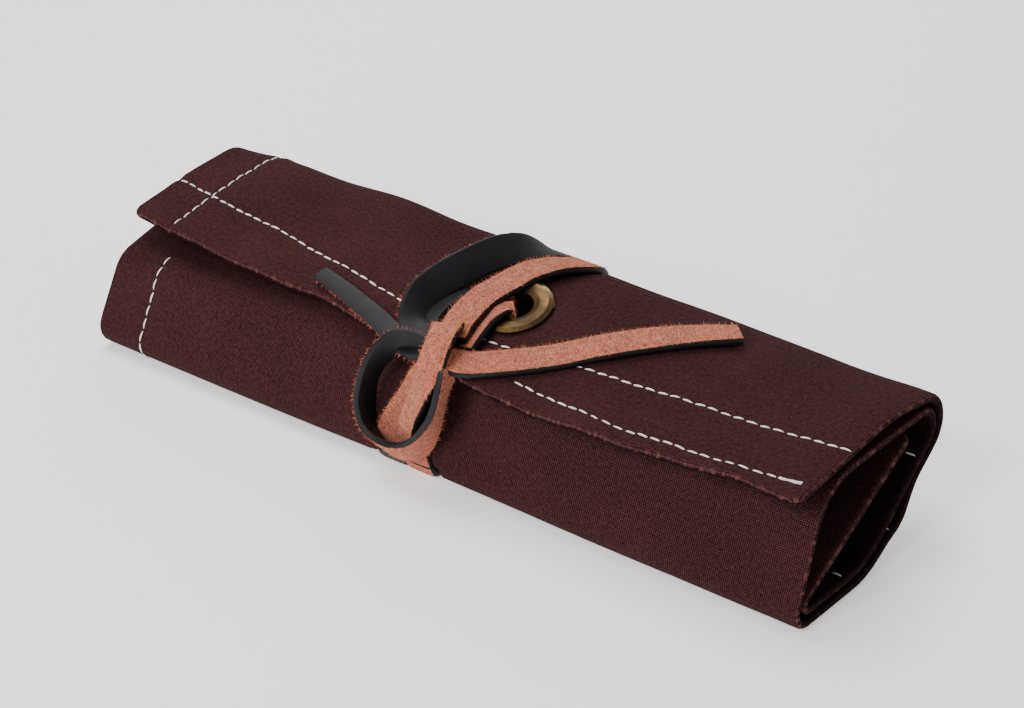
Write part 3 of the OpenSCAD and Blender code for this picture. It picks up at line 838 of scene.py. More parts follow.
def inner_marks(panel):
    """Where one panel starts and ends, with the rows of its folded borders."""
    first, last = PANELS[panel]
    marks = [first]
    if panel == "flap":
        marks = [from_free(way) for way in rim(FOLD_RADIUS)]
        marks += [from_free(FOLD - FOLD_STEP), from_free(FOLD)]
        marks += [lambda x, away=away: side_seam(x) + away for away in BESIDE_ROW]
    if panel == "body":
        marks += [lambda x: section(x).start[BROW], lambda x: section(x).end[BROW]]
    if panel == "inner":
        marks += [from_inner(FOLD), from_inner(FOLD - FOLD_STEP)]
        marks += [from_inner(way) for way in rim(FOLD_RADIUS)[:0:-1]]
    return marks + [last]


fold_columns = [LEFT_X + way for way in rim(FOLD_RADIUS)]
fold_columns += [LEFT_X + FOLD - FOLD_STEP, LEFT_X + FOLD]
fold_columns += [RIGHT_X - way for way in rim(FOLD_RADIUS)]
fold_columns += [RIGHT_X - FOLD + FOLD_STEP, RIGHT_X - FOLD]
seam_columns = [END_SEAM_X + away for away in BESIDE_COLUMN]
canvas_columns = sorted(set(
    round(v, 3) for v in spread(LEFT_X, RIGHT_X, STEP, fold_columns + seam_columns)))
CANVAS_NODES = {
    "flap": ("canvas_flap", "canvas_spine"), "back": ("canvas_back",), "base": ("canvas_base",),
    "body": ("canvas_front", "canvas_inner_top", "canvas_inner_back"), "inner": ("canvas_inner_end",)}
canvas = {}
for panel, nodes in CANVAS_NODES.items():
    rows = rows_between(inner_marks(panel), STEP)
    sides = {"left", "right", {"flap": "free", "inner": "last"}.get(panel)}
    inner = (LINED, FOLD - FOLD_STEP / 2, THICK)
    # The inner face takes the lining colours, painted shade.
    piece = cloth("cloth_" + panel, canvas_columns, rows, 0.0, inner, FOLD_RADIUS, sides,
                  (canvas_skin, lining_shade_skin))
    canvas[panel] = piece
    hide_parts(*nodes)
    flat_size(canvas_columns, rows)

# %% [markdown]
# A round punch through the flap takes the grommet. The hole is cut before the piece is hung.

# %% The hole for the grommet
HOLE_RADIUS = 6.1
flap_rows = np.linspace(20, 32, 200)
over_flap, _ = place(GROMMET_X, flap_rows)
nearest = int(np.argmin(abs(over_flap[:, 1] - GROMMET_Y * MM)))
eyelet_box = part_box("grommet_eyelet")
eye_centre = (Vector(eyelet_box[0]) + Vector(eyelet_box[1])) / 2
ahead = over_flap[nearest + 5] - over_flap[nearest - 5]
flap_tilt = math.atan2(ahead[2], ahead[1])
print("the flap under the grommet tilts", round(math.degrees(flap_tilt), 1), "degrees")
bpy.ops.object.select_all(action="DESELECT")
bpy.ops.mesh.primitive_cylinder_add(
    vertices=48, radius=HOLE_RADIUS * MM, depth=0.02, location=eye_centre, rotation=(flap_tilt, 0, 0))
punch = bpy.context.object
cut = canvas["flap"].modifiers.new("hole", "BOOLEAN")
cut.operation, cut.object, cut.solver = "DIFFERENCE", punch, "EXACT"
bpy.context.view_layer.objects.active = canvas["flap"]
canvas["flap"].select_set(True)
bpy.ops.object.modifier_apply(modifier="hole")
bpy.data.objects.remove(punch)
for panel, piece in canvas.items():
    hang(piece, panel)

# %% [markdown]
# The pocket layer is the right half of the cloth folded back inside, which holds the watches.
# The left end has a turned hem, and narrow hems run along both free edges.

# %% The lining layers
LAYER = THICK + GAP
LINING_STEP, LINING_ROW_STEP = 2.2, STEP * 1.2
HEM_WIDTH, HEM_BEYOND = 16.0, 1.8
mouth_rim = [POCKET_MOUTH_X + way for way in rim(THICK / 2)]
pocket_columns = spread(POCKET_MOUTH_X, RIGHT_X - FOLD, LINING_STEP, mouth_rim)
hem_columns = spread(LEFT_X + FOLD, END_SEAM_X, LINING_STEP)
side_columns = spread(END_SEAM_X + 0.5, POCKET_MOUTH_X - 0.5, LINING_STEP)


def hem_border(x):
    """The raw edge of the side hem, a little beyond its stitches."""
    return side_seam(x) + HEM_BEYOND


POCKET_NODES = {
    "flap": ("pocket_flap", "pocket_spine"), "back": ("pocket_back",), "base": ("pocket_base",),
    "body": ("pocket_front", "pocket_inner_top", "pocket_inner_back"), "inner": ("pocket_inner_end",)}
HEM_NODES = {
    "flap": ("end_hem_flap", "end_hem_spine"), "back": ("end_hem_back",), "base": (),
    "body": ("end_hem_body",), "inner": ("end_hem_inner_end",)}


def lining(name, panel, columns, marks, nodes, sides):
    """A layer that lies inside the shell, hung by its panel."""
    rows = rows_between(marks, LINING_ROW_STEP)
    # Each layer inside takes the lining colours, painted shade.
    piece = cloth(name, columns, rows, LAYER, (LINED, 0, LINED), THICK / 2, sides,
                  (lining_shade_skin, lining_shade_skin))
    if nodes:
        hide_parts(*nodes)
    flat_size(columns, rows)
    return hang(piece, panel)


for panel in PANELS:
    first, last = PANELS[panel]
    first = from_free(FOLD) if panel == "flap" else first
    last = from_inner(FOLD) if panel == "inner" else last
    marks = [first, last]
    lining("pocket_layer_" + panel, panel, pocket_columns, marks, POCKET_NODES[panel], {"left"})
    lining("end_hem_layer_" + panel, panel, hem_columns, marks, HEM_NODES[panel], set())
lining("side_hem_layer_flap", "flap", side_columns, [from_free(FOLD), hem_border],
       ("side_hem_flap",), {"last"})
lining("side_hem_layer_inner", "inner", side_columns, [from_inner(HEM_WIDTH), from_inner(FOLD)],
       ("side_hem_inner_end",), {"free"})

# %% [markdown]
# Every stitch is a short grain of thread that rises out of one needle hole and goes down the
# next. It is shaped once, as a rounded grain of rings, which grow thin and sink at both ends.

# %% One stitch
STITCH_LENGTH, STITCH_WIDTH, STITCH_RISE = 3.4, 0.54, 0.3
STITCH_RINGS, STITCH_SIDES = 7, 8
STITCH_TIP, STITCH_SUNK, STITCH_FLAT = 0.18, 0.35, 0.6


def one_stitch(length, width, rise):
    """The points of one stitch along X, with its flat map, in millimetres."""
    points, flat = [], []
    for i in range(STITCH_RINGS):
        t = -1 + 2 * i / (STITCH_RINGS - 1)
        fat = max(STITCH_TIP, (1 - abs(t) ** 3) ** 0.5)
        for k in range(STITCH_SIDES):
            turn = 2 * math.pi * k / STITCH_SIDES
            lift = rise * (1 - t * t) - rise * STITCH_SUNK
            across = math.cos(turn) * width / 2 * fat
            points.append((t * length / 2, across, lift + math.sin(turn) * rise * STITCH_FLAT * fat))
            flat.append((t * length / 2 * MM, turn / (2 * math.pi) * width * 3 * MM))
    return points, flat


def stitch_faces(start):
    """The faces of a stitch whose points begin at start."""
    faces = []
    for i in range(STITCH_RINGS - 1):
        for k in range(STITCH_SIDES):
            a, b = start + i * STITCH_SIDES + k, start + i * STITCH_SIDES + (k + 1) % STITCH_SIDES
            faces.append((a, b, b + STITCH_SIDES, a + STITCH_SIDES))
    last = start + (STITCH_RINGS - 1) * STITCH_SIDES
    faces.append(tuple(range(start + STITCH_SIDES - 1, start - 1, -1)))
    faces.append(tuple(last + k for k in range(STITCH_SIDES)))
    return faces


print("one stitch has", len(stitch_faces(0)), "faces")

# %% [markdown]
# A row is many copies of the stitch. Each one lies on the cloth where the needle went, along
# the row, but turned, stretched and thickened a little, as a sewing machine leaves them. On
# the inner side of the cloth the stitch looks the other way.

# %% A row of stitches
STITCH_LIFT, STITCH_ANGLE = 0.02, 60


def frame_at(x, s, depth, inner=False):
    """Where the cloth is at x and s: the point, and the directions along x, along s and out."""
    (point,), _ = place(x, s, depth)
    (ahead,), _ = place(x, s + 0.5, depth)
    (beside,), _ = place(x + 0.5, s, depth)
    along_x, along_s = Vector(beside - point).normalized(), Vector(ahead - point).normalized()
    out = along_x.cross(along_s).normalized()
    if inner:
        out, along_s = -out, -along_s
    return Vector(point), along_x, along_s, out


def stitch_piece(name, places, nodes, inner=False):
    """One row: places are (x, s, angle to X in degrees, length)."""
    points, flat, faces = [], [], []
    for x, s, angle, length in places:
        here, along_x, along_s, out = frame_at(x, s, LINED if inner else 0.0, inner)
        turn = math.radians(angle + dice.uniform(-4, 4))
        forward = along_x * math.cos(turn) + along_s * math.sin(turn)
        side = out.cross(forward)
        start, shift = len(points), dice.uniform(0, 0.3)
        long, wide = length * dice.uniform(0.94, 1.04), STITCH_WIDTH * dice.uniform(0.9, 1.08)
        stitch_points, stitch_flat = one_stitch(long, wide, STITCH_RISE)
        for ahead, beside, above in stitch_points:
            offset = forward * ahead + side * beside + out * (above + STITCH_LIFT)
            points.append(here + offset * MM)
        flat += [(u + shift, v) for u, v in stitch_flat]
        faces += stitch_faces(start)
    piece = mesh_piece(name, points, faces, flat, (thread_skin,))
    if nodes:
        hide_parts(*nodes)
    print(name, len(places), "stitches")
    return smooth(piece, STITCH_ANGLE)


print("a row has a stitch every", STITCH_PITCH, "mm")

# %% [markdown]
# The flap has a row along its hem and one that closes the pockets, which ends in a worked bar.
# One row runs round the roll at the left end, cut at the same lines as the canvas. Inside, the
# rows between the pockets show only at the open end.

# %% The rows of the roll
BAR_PITCH, BAR_WIDTH = 0.5, 1.5
BAR_START, BAR_END = RIGHT_X - 9, RIGHT_X - 3


def along_x_row(low, high, line):
    """Stitches from low to high on a line that gives s at each x."""
    count = round((high - low) / STITCH_PITCH)
    row = []
    for x in (low + (i + 0.5) * (high - low) / count for i in range(count)):
        slope = math.degrees(math.atan(line(x + 0.5) - line(x - 0.5)))
        row.append((x, line(x), slope, STITCH_LENGTH))
    return row


def along_s_row(x, low, high):
    """Stitches at one x, across the strip from low to high."""
    count = round((high - low) / STITCH_PITCH)
    return [(x, low + (i + 0.5) * (high - low) / count, 90, STITCH_LENGTH) for i in range(count)]


def bartack(x0, x1, line):
    """A worked bar: close stitches across, which stop a seam from opening at its end."""
    xs = [x0 + i * BAR_PITCH for i in range(int((x1 - x0) / BAR_PITCH))]
    return [(x, line(x) + dice.uniform(-0.1, 0.1), 90, BAR_WIDTH) for x in xs]


def row_on(name, panel, places, nodes=()):
    """A row of stitches, hung by its panel."""
    return hang(stitch_piece(name, places, nodes), panel)


side_row = along_x_row(LEFT_X + 0.8, RIGHT_X - 0.4, side_seam)
row_on("stitches_side_hem", "flap", side_row, ("seam_side_hem",))
pocket_row = along_x_row(POCKET_MOUTH_X, BAR_START, pocket_seam)
pocket_row += bartack(BAR_START, BAR_END, pocket_seam)
row_on("stitches_pocket_side", "flap", pocket_row, ("seam_pocket_side",))
END_ROW_NODES = {"flap": ("seam_end_hem_flap",), "body": ("seam_end_hem_body",)}
for panel, start, end in (
        ("flap", from_free(2.5), FLAP_CUT), ("back", FLAP_CUT, BACK_CUT),
        ("base", BACK_CUT, BASE_CUT), ("body", BASE_CUT, lambda x: section(x).end[BROW])):
    end_row = along_s_row(END_SEAM_X, start(END_SEAM_X), end(END_SEAM_X))
    row_on("stitches_end_hem_" + panel, panel, end_row, END_ROW_NODES.get(panel, ()))
mouth = section(110)
DIVIDERS = (
    ("foot", mouth.start[FOOT] - 4, ("seam_dividers",)),
    ("brow", mouth.start[BROW] + 1, ()),
    ("inner_rear", mouth.end[INNER_REAR] + 5, ()),
    ("inner_foot", mouth.start[INNER_FOOT] + 19, ()),
)
for name, s, nodes in DIVIDERS:
    row = along_x_row(POCKET_MOUTH_X + 1, RIGHT_X - 1, from_free(s))
    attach(stitch_piece("stitches_divider_" + name, row, nodes, inner=True), CORE)

# %% [markdown]
# A leather strap is swept along a route of stations. Each station has a place, the way that the
# strap's upper face looks, and a width; a smooth curve runs through them. The section is a flat
# bar with worn corners. The side that was the hide's surface is black, and so are the cut
# edges; the flesh side is tan.

# %% The section and the way of a strap
STATION_STEP = 1.1
WORN = 0.55


def bar_profile(width, thick):
    """Sixteen points round a strap's section, from its upper left: (across, out)."""
    half_w, half_t, worn = width / 2, thick / 2, WORN * thick / LACE_T
    top = [(-half_w + worn * 0.5, half_t - worn * 0.25)]
    top += [(t * (half_w - worn * 1.6), half_t + 0.06 * (1 - t * t)) for t in (-1, -0.34, 0.34, 1)]
    top += [(half_w - worn * 0.5, half_t - worn * 0.25)]
    side = [(half_w, half_t * 0.4), (half_w, -half_t * 0.4)]
    return top + side + [(-a, -b) for a, b in top] + [(-a, -b) for a, b in side]


PROFILE_SIDES = len(bar_profile(LACE_W, LACE_T))
HALF_SIDES = PROFILE_SIDES // 2
TOP_FACES, BOTTOM_FACES = range(0, 5), range(HALF_SIDES, HALF_SIDES + 5)


def through(stations):
    """A smooth run of stations through the given ones, about a step apart.

    A station is (x, y, z, then the way the face looks, then the width), in millimetres."""
    rows = [np.array(list(st) + [LACE_W] * (7 - len(st)), float) for st in stations]
    ends = [2 * rows[0] - rows[1]] + rows + [2 * rows[-1] - rows[-2]]
    out = []
    for a, b, c, d in zip(ends, ends[1:], ends[2:], ends[3:]):
        pieces = max(1, round(np.linalg.norm((c - b)[:3]) / STATION_STEP))
        for k in range(pieces):
            t = k / pieces
            square, cube = 2 * a - 5 * b + 4 * c - d, 3 * b - a - 3 * c + d
            out.append(0.5 * (2 * b + (c - a) * t + square * t**2 + cube * t**3))
    return np.array(out + [rows[-1]])


def mend_outward(piece):
    """Turns the faces of a closed piece outwards."""
    shell = bmesh.new()
    shell.from_mesh(piece.data)
    bmesh.ops.recalc_face_normals(shell, faces=shell.faces)
    shell.to_mesh(piece.data)
    shell.free()


print("a strap has", PROFILE_SIDES, "points round its section")

# %% [markdown]
# The strap itself puts one section at each station of its way and joins them with faces. Its
# edges are a little ragged, because the lace was cut by hand. The flat map gives the lower
# face a place of its own, 40 mm to the side.

# %% A strap
BOTTOM_SHIFT = 40
STRAP_ANGLE = 35


def strap(name, run, up, first=0, last=None, thick=LACE_T):
    """A strap along a smooth run of stations, or along a part of it from first to last."""
    last = len(run) - 1 if last is None else last
    points, flat, faces, skin_of, way = [], [], [], [], 0.0
    for i in range(first, last + 1):
        here = Vector(run[i][:3])
        ahead = Vector(run[min(i + 1, len(run) - 1)][:3]) - Vector(run[max(i - 1, 0)][:3])
        across = Vector(run[i][3:6]).cross(ahead).normalized()
        out = ahead.cross(across).normalized()
        way += (Vector(run[i][:3]) - Vector(run[max(i - 1, first)][:3])).length
        ragged = 0.12 * math.sin(way * 2.3) + 0.08 * math.sin(way * 5.1 + 1)
        for k, (a, b) in enumerate(bar_profile(run[i][6] + ragged, thick)):
            points.append((here + across * a + out * b) * MM)
            flat.append(((a + (BOTTOM_SHIFT if k >= HALF_SIDES else 0)) * MM, way * MM))
    around, count = PROFILE_SIDES, last - first + 1
    upper, lower = (0, 1) if up == "suede" else (1, 0)
    for i in range(count - 1):
        for k in range(around):
            a, b = i * around + k, i * around + (k + 1) % around
            faces.append((a, b, b + around, a + around))
            skin_of.append(upper if k in TOP_FACES else lower if k in BOTTOM_FACES else 1)
    for start, is_end in ((0, False), ((count - 1) * around, True)):
        for k in range(HALF_SIDES - 1):
            opposite = start + around - 1 - k
            quad = (start + k, start + k + 1, opposite - 1, opposite)
            faces.append(quad if is_end else quad[::-1])
            skin_of.append(1)
    piece = mesh_piece(name, points, faces, flat, (suede_skin, grain_skin), skin_of)
    mend_outward(piece)
    "lace_suede" if up == "suede" else "lace_grain"
    print(name, round(way), "mm of lace")
    return smooth(piece, STRAP_ANGLE)


print("smooth up to", STRAP_ANGLE, "degrees")

# %% [markdown]
# Fibres stand out of the suede, most of them along its edges. Each one is a thin tapered spike
# with three sides, bent a little, and a few hundred of them make the fuzz of one strap.

# %% Fibres
FIBRE_LENGTH, FIBRE_THICK = 0.0009, 0.00007
FIBRES_PER_MM, EDGE_SHARE = 9.0, 0.55
LEAN = 0.35


def fibre_piece(name, roots, length, thick, skin):
    """Spikes from (point, direction) roots, in metres."""
    points, flat, faces = [], [], []
    for root, direction in roots:
        way = Vector(direction).normalized()
        side = way.orthogonal().normalized()
        other = way.cross(side)
        long = length * dice.uniform(0.4, 1.2)
        lean = Vector((dice.uniform(-1, 1), dice.uniform(-1, 1), dice.uniform(-1, 1))) * LEAN
        a = len(points)
        for t, fat in ((-0.2, 1.0), (0.55, 0.7)):
            for k in range(3):
                turn = 2 * math.pi * k / 3
                offset = (side * math.cos(turn) + other * math.sin(turn)) * thick * fat
                points.append(Vector(root) + way * long * t + lean * long * t * t * (t > 0) + offset)
        points.append(Vector(root) + way * long + lean * long)
        flat += [(dice.uniform(0, 1), dice.uniform(0, 1))] * 7
        faces.append((a + 2, a + 1, a))
        for k in range(3):
            faces.append((a + k, a + (k + 1) % 3, a + 3 + (k + 1) % 3, a + 3 + k))
            faces.append((a + 3 + k, a + 3 + (k + 1) % 3, a + 6))
    piece = mesh_piece(name, points, faces, flat, (skin,))
    print(name, len(roots), "fibres")
    return piece


def strap_fuzz(name, run, up, first=0, last=None, thick=LACE_T):
    """Fibres along both edges of the suede face, and a few on it."""
    last = len(run) - 1 if last is None else last
    roots, sign = [], 1 if up == "suede" else -1
    for i in range(first, last):
        here, there = Vector(run[i][:3]), Vector(run[i + 1][:3])
        ahead = there - here
        across = Vector(run[i][3:6]).cross(ahead).normalized()
        out = ahead.cross(across).normalized() * sign
        for _ in range(max(1, round(ahead.length * FIBRES_PER_MM))):
            edge = dice.choice((-1, 1))
            spot = here + ahead * dice.random()
            if dice.random() < EDGE_SHARE:
                inward = run[i][6] / 2 - dice.uniform(0.1, 0.6)
                root = spot + across * edge * inward + out * (thick / 2 - 0.1)
                way = across * edge * dice.uniform(0.3, 1) + out * dice.uniform(0.1, 0.9)
                way = way + ahead * dice.uniform(-0.6, 0.6)
            else:
                root = spot + across * dice.uniform(-0.46, 0.46) * run[i][6] + out * thick / 2
                way = out * 0.45 + across * dice.uniform(-1, 1) + ahead * dice.uniform(-1, 1)
            roots.append((root * MM, way))
    piece = fibre_piece(name, roots, FIBRE_LENGTH, FIBRE_THICK, suede_skin)
    return piece


print("fibres are", FIBRE_LENGTH / MM, "mm long,", FIBRES_PER_MM, "to the millimetre of lace")

# %% [markdown]
# The lace comes out of the grommet, and its two halves go once round the roll, side by side.
# Over the top their stations are listed. Round the rear and under the roll they follow the
# cloth, in its groove and its channel, and wander a little to the left on the way down. A
# station is (x, y, z, the way the face looks, the width).

# %% The way round the roll
TOP_TURN = -23
RISE, MEAN_DRIFT, WRAP_STEP = LACE_T / 2 + 0.15, 8, 4
FOOT_STATIONS = [(1.8, 1.3, -0.2, -1), (0.1, 2.5, -0.7, -0.7), (-0.8, 4.4, -1, -0.3)]
TOP_STRAND = [
    (5.4, 4.6, 40.4, 0, -0.35, 1, 8.5), (2.9, 12, 42, 0, -0.25, 1), (2.2, 21.5, 43.9, 0, -0.2, 1),
    (3.9, 29.5, 45.3, 0, -0.1, 1), (4.9, 37, 45.7, 0, -0.05, 1), (6.6, 44.5, 45, 0, 0.1, 1),
    (8.6, 51, 43.4, 0, 0.3, 1)]
TOP_LOOP = [
    (-3.5, 2, 38.9, -0.2, -0.2, 1, 7), (-9.5, 8, 40.6, 0.7, -0.3, 0.6, 8.5),
    (-12.2, 14.5, 42.6, 0.8, -0.1, 0.6), (-11.8, 21, 44.4, 0.8, -0.1, 0.6),
    (-9.6, 28.5, 46.1, 0.8, -0.2, 0.55), (-7.2, 36, 47.3, 0.75, -0.3, 0.6),
    (-4.4, 44, 47, 0.55, -0.3, 0.8), (-1.4, 50, 45.2, 0.25, 0.1, 1), (0.6, 54.5, 42.4, 0.05, 0.6, 0.9)]


def wrap_station(s, shift):
    """Where a strand lies on the cloth at s; under the roll it is flush in its channel."""
    x = STRAND_X + shift
    for _ in range(3):
        (point,), (out,) = place(x, s, -RISE)
        x = STRAND_X + shift + drift(max(point[2] / MM, BASE_Z))
    return (x, point[1] / MM, max(point[2] / MM, BASE_Z), *out)


def wrap_run(top, shift):
    """The whole way of one strand, and the stations at which the panels end."""
    x = STRAND_X + shift + MEAN_DRIFT
    marks = [at_heading(REAR, TOP_TURN)(x), FLAP_CUT(x), BACK_CUT(x)]
    marks += [section(x).end[FOOT], section(x).start[TOE]]
    stations, cuts = list(top), []
    for low, high in zip(marks[:-1], marks[1:]):
        places = np.linspace(low, high, max(3, round((high - low) / WRAP_STEP)))[:-1]
        stations += [wrap_station(s, shift) for s in places]
        cuts.append(len(stations))
    stations += [(STRAND_X + shift, y, z, 0, ny, nz) for y, z, ny, nz in FOOT_STATIONS]
    run = through(stations)
    ends = [np.array(stations[cut][:3]) for cut in cuts[:2]]
    nearest = [int(np.argmin(np.linalg.norm(run[:, :3] - end, axis=1))) for end in ends]
    return run, [0] + nearest + [len(run) - 1]


print("over the top:", len(TOP_STRAND), "and", len(TOP_LOOP), "stations set by hand")

# %% [markdown]
# Each strand crosses the same joints as the cloth, so it is cut at the same lines. The right
# strand shows its suede, and the left one its grain.

# %% The lace round the roll
STRANDS = (("right", TOP_STRAND, 0.0, "suede"), ("left", TOP_LOOP, -PITCH, "grain"))
WRAP_NODES = {
    ("right", 0): ("lace_top_strand", "lace_spine_strands"), ("left", 0): ("lace_top_loop",),
    ("right", 1): ("lace_back_strands",), ("right", 2): ("lace_base_strands",)}
for side, top, shift, up in STRANDS:
    run, cuts = wrap_run(top, shift)
    for index, panel in enumerate(("flap", "back", "base")):
        piece = strap(f"lace_{side}_{panel}", run, up, cuts[index], cuts[index + 1])
        nodes = WRAP_NODES.get((side, index), ())
        if nodes:
            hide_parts(*nodes)
        hang(piece, panel)
        if panel != "base":
            hang(strap_fuzz(f"fuzz_{side}_{panel}", run, up, cuts[index], cuts[index + 1]), panel)

# %% [markdown]
# The knot draws the flap down. One end comes over the top of it and runs down the front, and
# the other makes the loop of the bow. These ways are listed from the photograph's outline, with
# a lace's thickness between straps that cross.

# %% The front strands and the bow
FRONT_BAND = [
    (3.4, 6.4, 42.9, 0, -0.3, 1, 8), (4.6, 4, 43.9, 0, 0, 1, 8), (6.2, 0.4, 43.8, 0, -0.5, 1, 8),
    (7.2, -3.4, 41.4, 0, -0.9, 0.5, 8), (7, -5.6, 37.2, 0, -1, 0.2, 8),
    (5.2, -6.3, 31.9, -0.3, -1, 0.1, 7.6), (3.1, -6.3, 27, -0.45, -1, 0.1, 7.4),
    (0.6, -6.1, 21, -0.45, -1, 0.1, 7.4), (-1.2, -5.1, 15.9, -0.3, -1, 0.1, 7.4),
    (-1.6, -3.6, 12, 0, -1, 0, 8), (-1.2, -2, 8, 0, -1, -0.1, 8.5), (-1, -0.9, 4.8, 0, -1, -0.3, 9)]
UNDER_BAND = [
    (3.6, -2, 34.6, 0, -1, 0.1, 6.5), (0.4, -1.6, 30.4, 0, -1, 0.1, 7),
    (-3.6, -1.5, 23.1, 0, -1, 0.1, 7), (-6.6, -1.8, 18, 0, -1, 0.1, 7.5),
    (-8.8, -2.2, 13.4, 0, -1, 0.1, 7.5), (-10.2, -1.7, 8, 0, -1, -0.1, 8.5),
    (-10.4, -0.9, 4.8, 0, -1, -0.3, 9)]
BOW = [
    (4.6, -1.6, 39.8, 0, 0.9, 0.1, 5.5), (0.4, -0.4, 39.9, -0.1, 0.9, 0.1, 5.5),
    (-4, -0.2, 39.2, -0.3, 0.85, 0.1, 6), (-8.2, -1.2, 37.4, -0.7, 0.6, 0.1, 7.5),
    (-12.4, -2.8, 32.2, -0.95, 0.25, 0.15, 8.5), (-15.1, -4, 25.8, -1, 0, 0.1, 8.5),
    (-15.9, -4.6, 19.2, -1, -0.1, -0.2, 8.5), (-14.2, -5.2, 13.2, -0.8, -0.4, -0.5, 9),
    (-10, -5.7, 9.4, -0.35, -0.7, -0.65, 9.8), (-4.8, -5.9, 8.8, 0.05, -0.75, -0.7, 10),
    (0.2, -5.8, 10.8, 0.45, -0.65, -0.6, 9.8), (4.8, -5.9, 16.2, 0.85, -0.3, -0.4, 8.5),
    (8.2, -5.8, 23.6, 0.95, 0.15, -0.15, 8.5), (10.4, -5.3, 31.4, 1, 0.3, 0.1, 8),
    (10.4, -2.6, 36.8, 0.9, 0.2, 0.4, 7), (8, 1, 39.8, 0.5, 0, 0.9, 6)]
print("the bow's loop has", len(BOW), "stations")

# %% [markdown]
# The knot is one short turn of lace on its edge. Two more strands, also half on edge, come out
# of the grommet and run to it, one on each side of the hole.

# %% The knot and the strands from the grommet
KNOT_BAND = [
    (-1, 4.2, 37.4, -0.2, -0.2, 1, 5), (1.2, 3.8, 39, -0.2, -0.2, 1, 5.5), (3.8, 3.6, 39.6, 0, -0.2, 1, 5.5),
    (6.2, 3.6, 38.8, 0.2, -0.2, 1, 5.5), (8, 3.6, 37.4, 0.3, -0.2, 1, 5)]
RING_LEFT = [
    (5.8, 27.4, 38.6, -1, 0, 0, 5.5), (5.4, 27, 41.8, -0.9, 0, 0.3, 5.5), (3, 26, 43, -0.5, 0, 1, 5.5),
    (-1, 24.6, 43, -0.3, -0.05, 1, 6), (-4.6, 21.4, 42.2, -0.3, 0, 1, 6), (-6.4, 16, 40.8, -0.3, 0, 1, 6),
    (-6, 10, 39.3, -0.25, 0, 1, 6), (-2.6, 5.2, 38.4, 0, -0.2, 1, 5.5)]
RING_RIGHT = [
    (8.8, 24.6, 38.2, 0.1, -1, 0, 5.5), (8.8, 24.2, 41.2, 0, -0.9, 0.4, 5.5),
    (8.2, 21.6, 42.6, -0.2, -0.3, 1, 6), (7.4, 16.4, 40.8, -0.5, -0.2, 1, 6.5),
    (8, 11, 39.4, -0.5, -0.3, 1, 6.5), (8.6, 5, 38.4, -0.2, -0.3, 1, 6.5)]
print("from the grommet:", len(RING_LEFT), "and", len(RING_RIGHT), "stations")

# %% [markdown]
# The two tails lie out to the sides on the flap. Their stations say only x, y, how far the
# strap floats above the cloth, and its width: the height comes from the flap itself, so that a
# tail lies in every hollow. The left tail stands half on its edge, and looks narrower.

# %% The tails
TAIL_RIGHT = [
    (8.6, -0.6, 1.6, 8), (11.6, 0.4, 0.9, 9), (15.7, 3.2, 0.6, 9), (24.1, 9, 0.5, 9), (32.1, 15, 0.6, 9),
    (39.7, 21.5, 0.8, 9), (49.2, 29.8, 0.9, 9), (58.1, 38, 1.0, 9), (65.5, 45.4, 1.2, 9)]
TAIL_LEFT = [
    (5.2, -1.2, 3.4, 5), (2, -0.9, 2.4, 5.5), (-2, -0.2, 1.0, 6), (-9.6, 2.5, 0.5, 6),
    (-19.2, 6, 0.4, 5.8), (-28.5, 9, 0.4, 5.4), (-37.1, 11, 0.5, 5), (-45, 12.7, 0.8, 4.6)]
NEAR_EDGE = np.linspace(0, 60, 241)


def on_flap(x, y, lift=0.0, width=LACE_W):
    """A station of a strap that lies on the flap at x and y."""
    points, outs = place(x, NEAR_EDGE)
    nearest = int(np.argmin(abs(points[:, 1] - y * MM)))
    out = outs[nearest]
    return (x, y, points[nearest][2] / MM + LACE_T / 2 + lift, *out, width)


tail_right, tail_left = [on_flap(*q) for q in TAIL_RIGHT], [on_flap(*q) for q in TAIL_LEFT]
print("the right tail ends", round(tail_right[-1][2], 1), "mm above the table")

# %% [markdown]
# Every strap is made by the same call, then rides on its body. The tails are free ends, and
# their length along their middle and their width are printed.

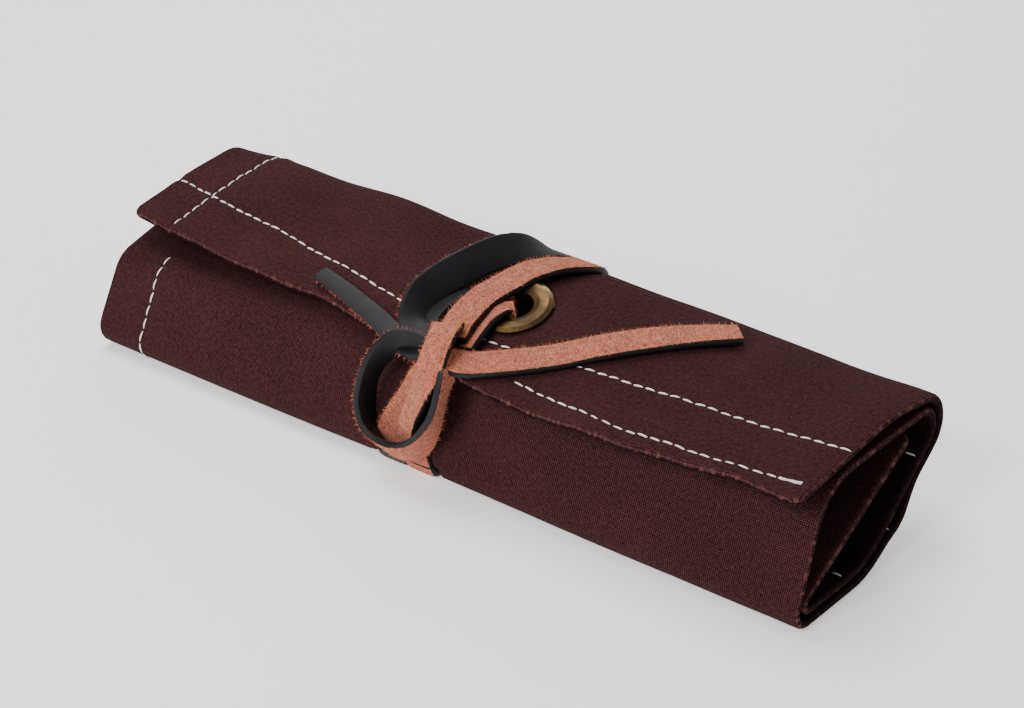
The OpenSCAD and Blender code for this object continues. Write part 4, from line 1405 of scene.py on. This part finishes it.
# %% The pieces of the bow
EDGE_LACE = 1.8
BOW_PIECES = (
    ("lace_front_band", FRONT_BAND, "suede", "bow", ("lace_front_strand",), LACE_T),
    ("lace_under_band", UNDER_BAND, "suede", "bow", ("lace_front_strand_inner",), LACE_T),
    ("lace_bow", BOW, "suede", "bow", ("bow_loop",), LACE_T),
    ("lace_knot_band", KNOT_BAND, "grain", "flap", ("lace_knot",), EDGE_LACE),
    ("lace_ring_left_band", RING_LEFT, "grain", "flap", ("lace_ring_left", "lace_bight"), EDGE_LACE),
    ("lace_ring_right_band", RING_RIGHT, "suede", "flap", ("lace_ring_right",), EDGE_LACE),
    ("lace_tail_right_band", tail_right, "suede", "tail_right", ("lace_tail_right",), LACE_T),
    ("lace_tail_left_band", tail_left, "grain", "tail_left", ("lace_tail_left",), LACE_T),
)
for name, route, up, body, nodes, thick in BOW_PIECES:
    run = through(route)
    piece = strap(name, run, up, thick=thick)
    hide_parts(*nodes)
    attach(piece, body)
    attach(strap_fuzz(name.replace("lace_", "fuzz_"), run, up, thick=thick), body)
    if body.startswith("tail"):
        way = [tuple(float(v) * MM for v in q[:3]) for q in run]
        length = sum(math.dist(a, b) for a, b in zip(way, way[1:]))
        wide = float(np.mean(run[:, 6])) * MM
        print(name, "free length", round(length / MM, 1), "mm, width", round(wide / MM, 1))

# %% [markdown]
# The grommet is two turned brass rings, pressed together through the hole. The frame's own
# shapes are right, so they stay and only get their old brass.

# %% The grommet
for name in ("grommet_eyelet", "grommet_washer"):
    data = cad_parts[name].data
    data.materials.clear()
    data.materials.append(brass_skin)
    print(name, len(data.vertices), "vertices")

# %% [markdown]
# The floor is one large plain sheet, so that its edge is never in view. It lies a hair below
# the table's height, clear of the faces under the roll.

# %% The floor
FLOOR_SIZE, FLOOR_Z = 6, -0.0002
bpy.ops.object.select_all(action="DESELECT")
bpy.ops.mesh.primitive_plane_add(size=FLOOR_SIZE, location=(0, 0, FLOOR_Z))
floor = bpy.context.object
floor.name = "floor"
floor.data.materials.append(floor_skin)
print("floor", FLOOR_SIZE, "m wide")

# %% [markdown]
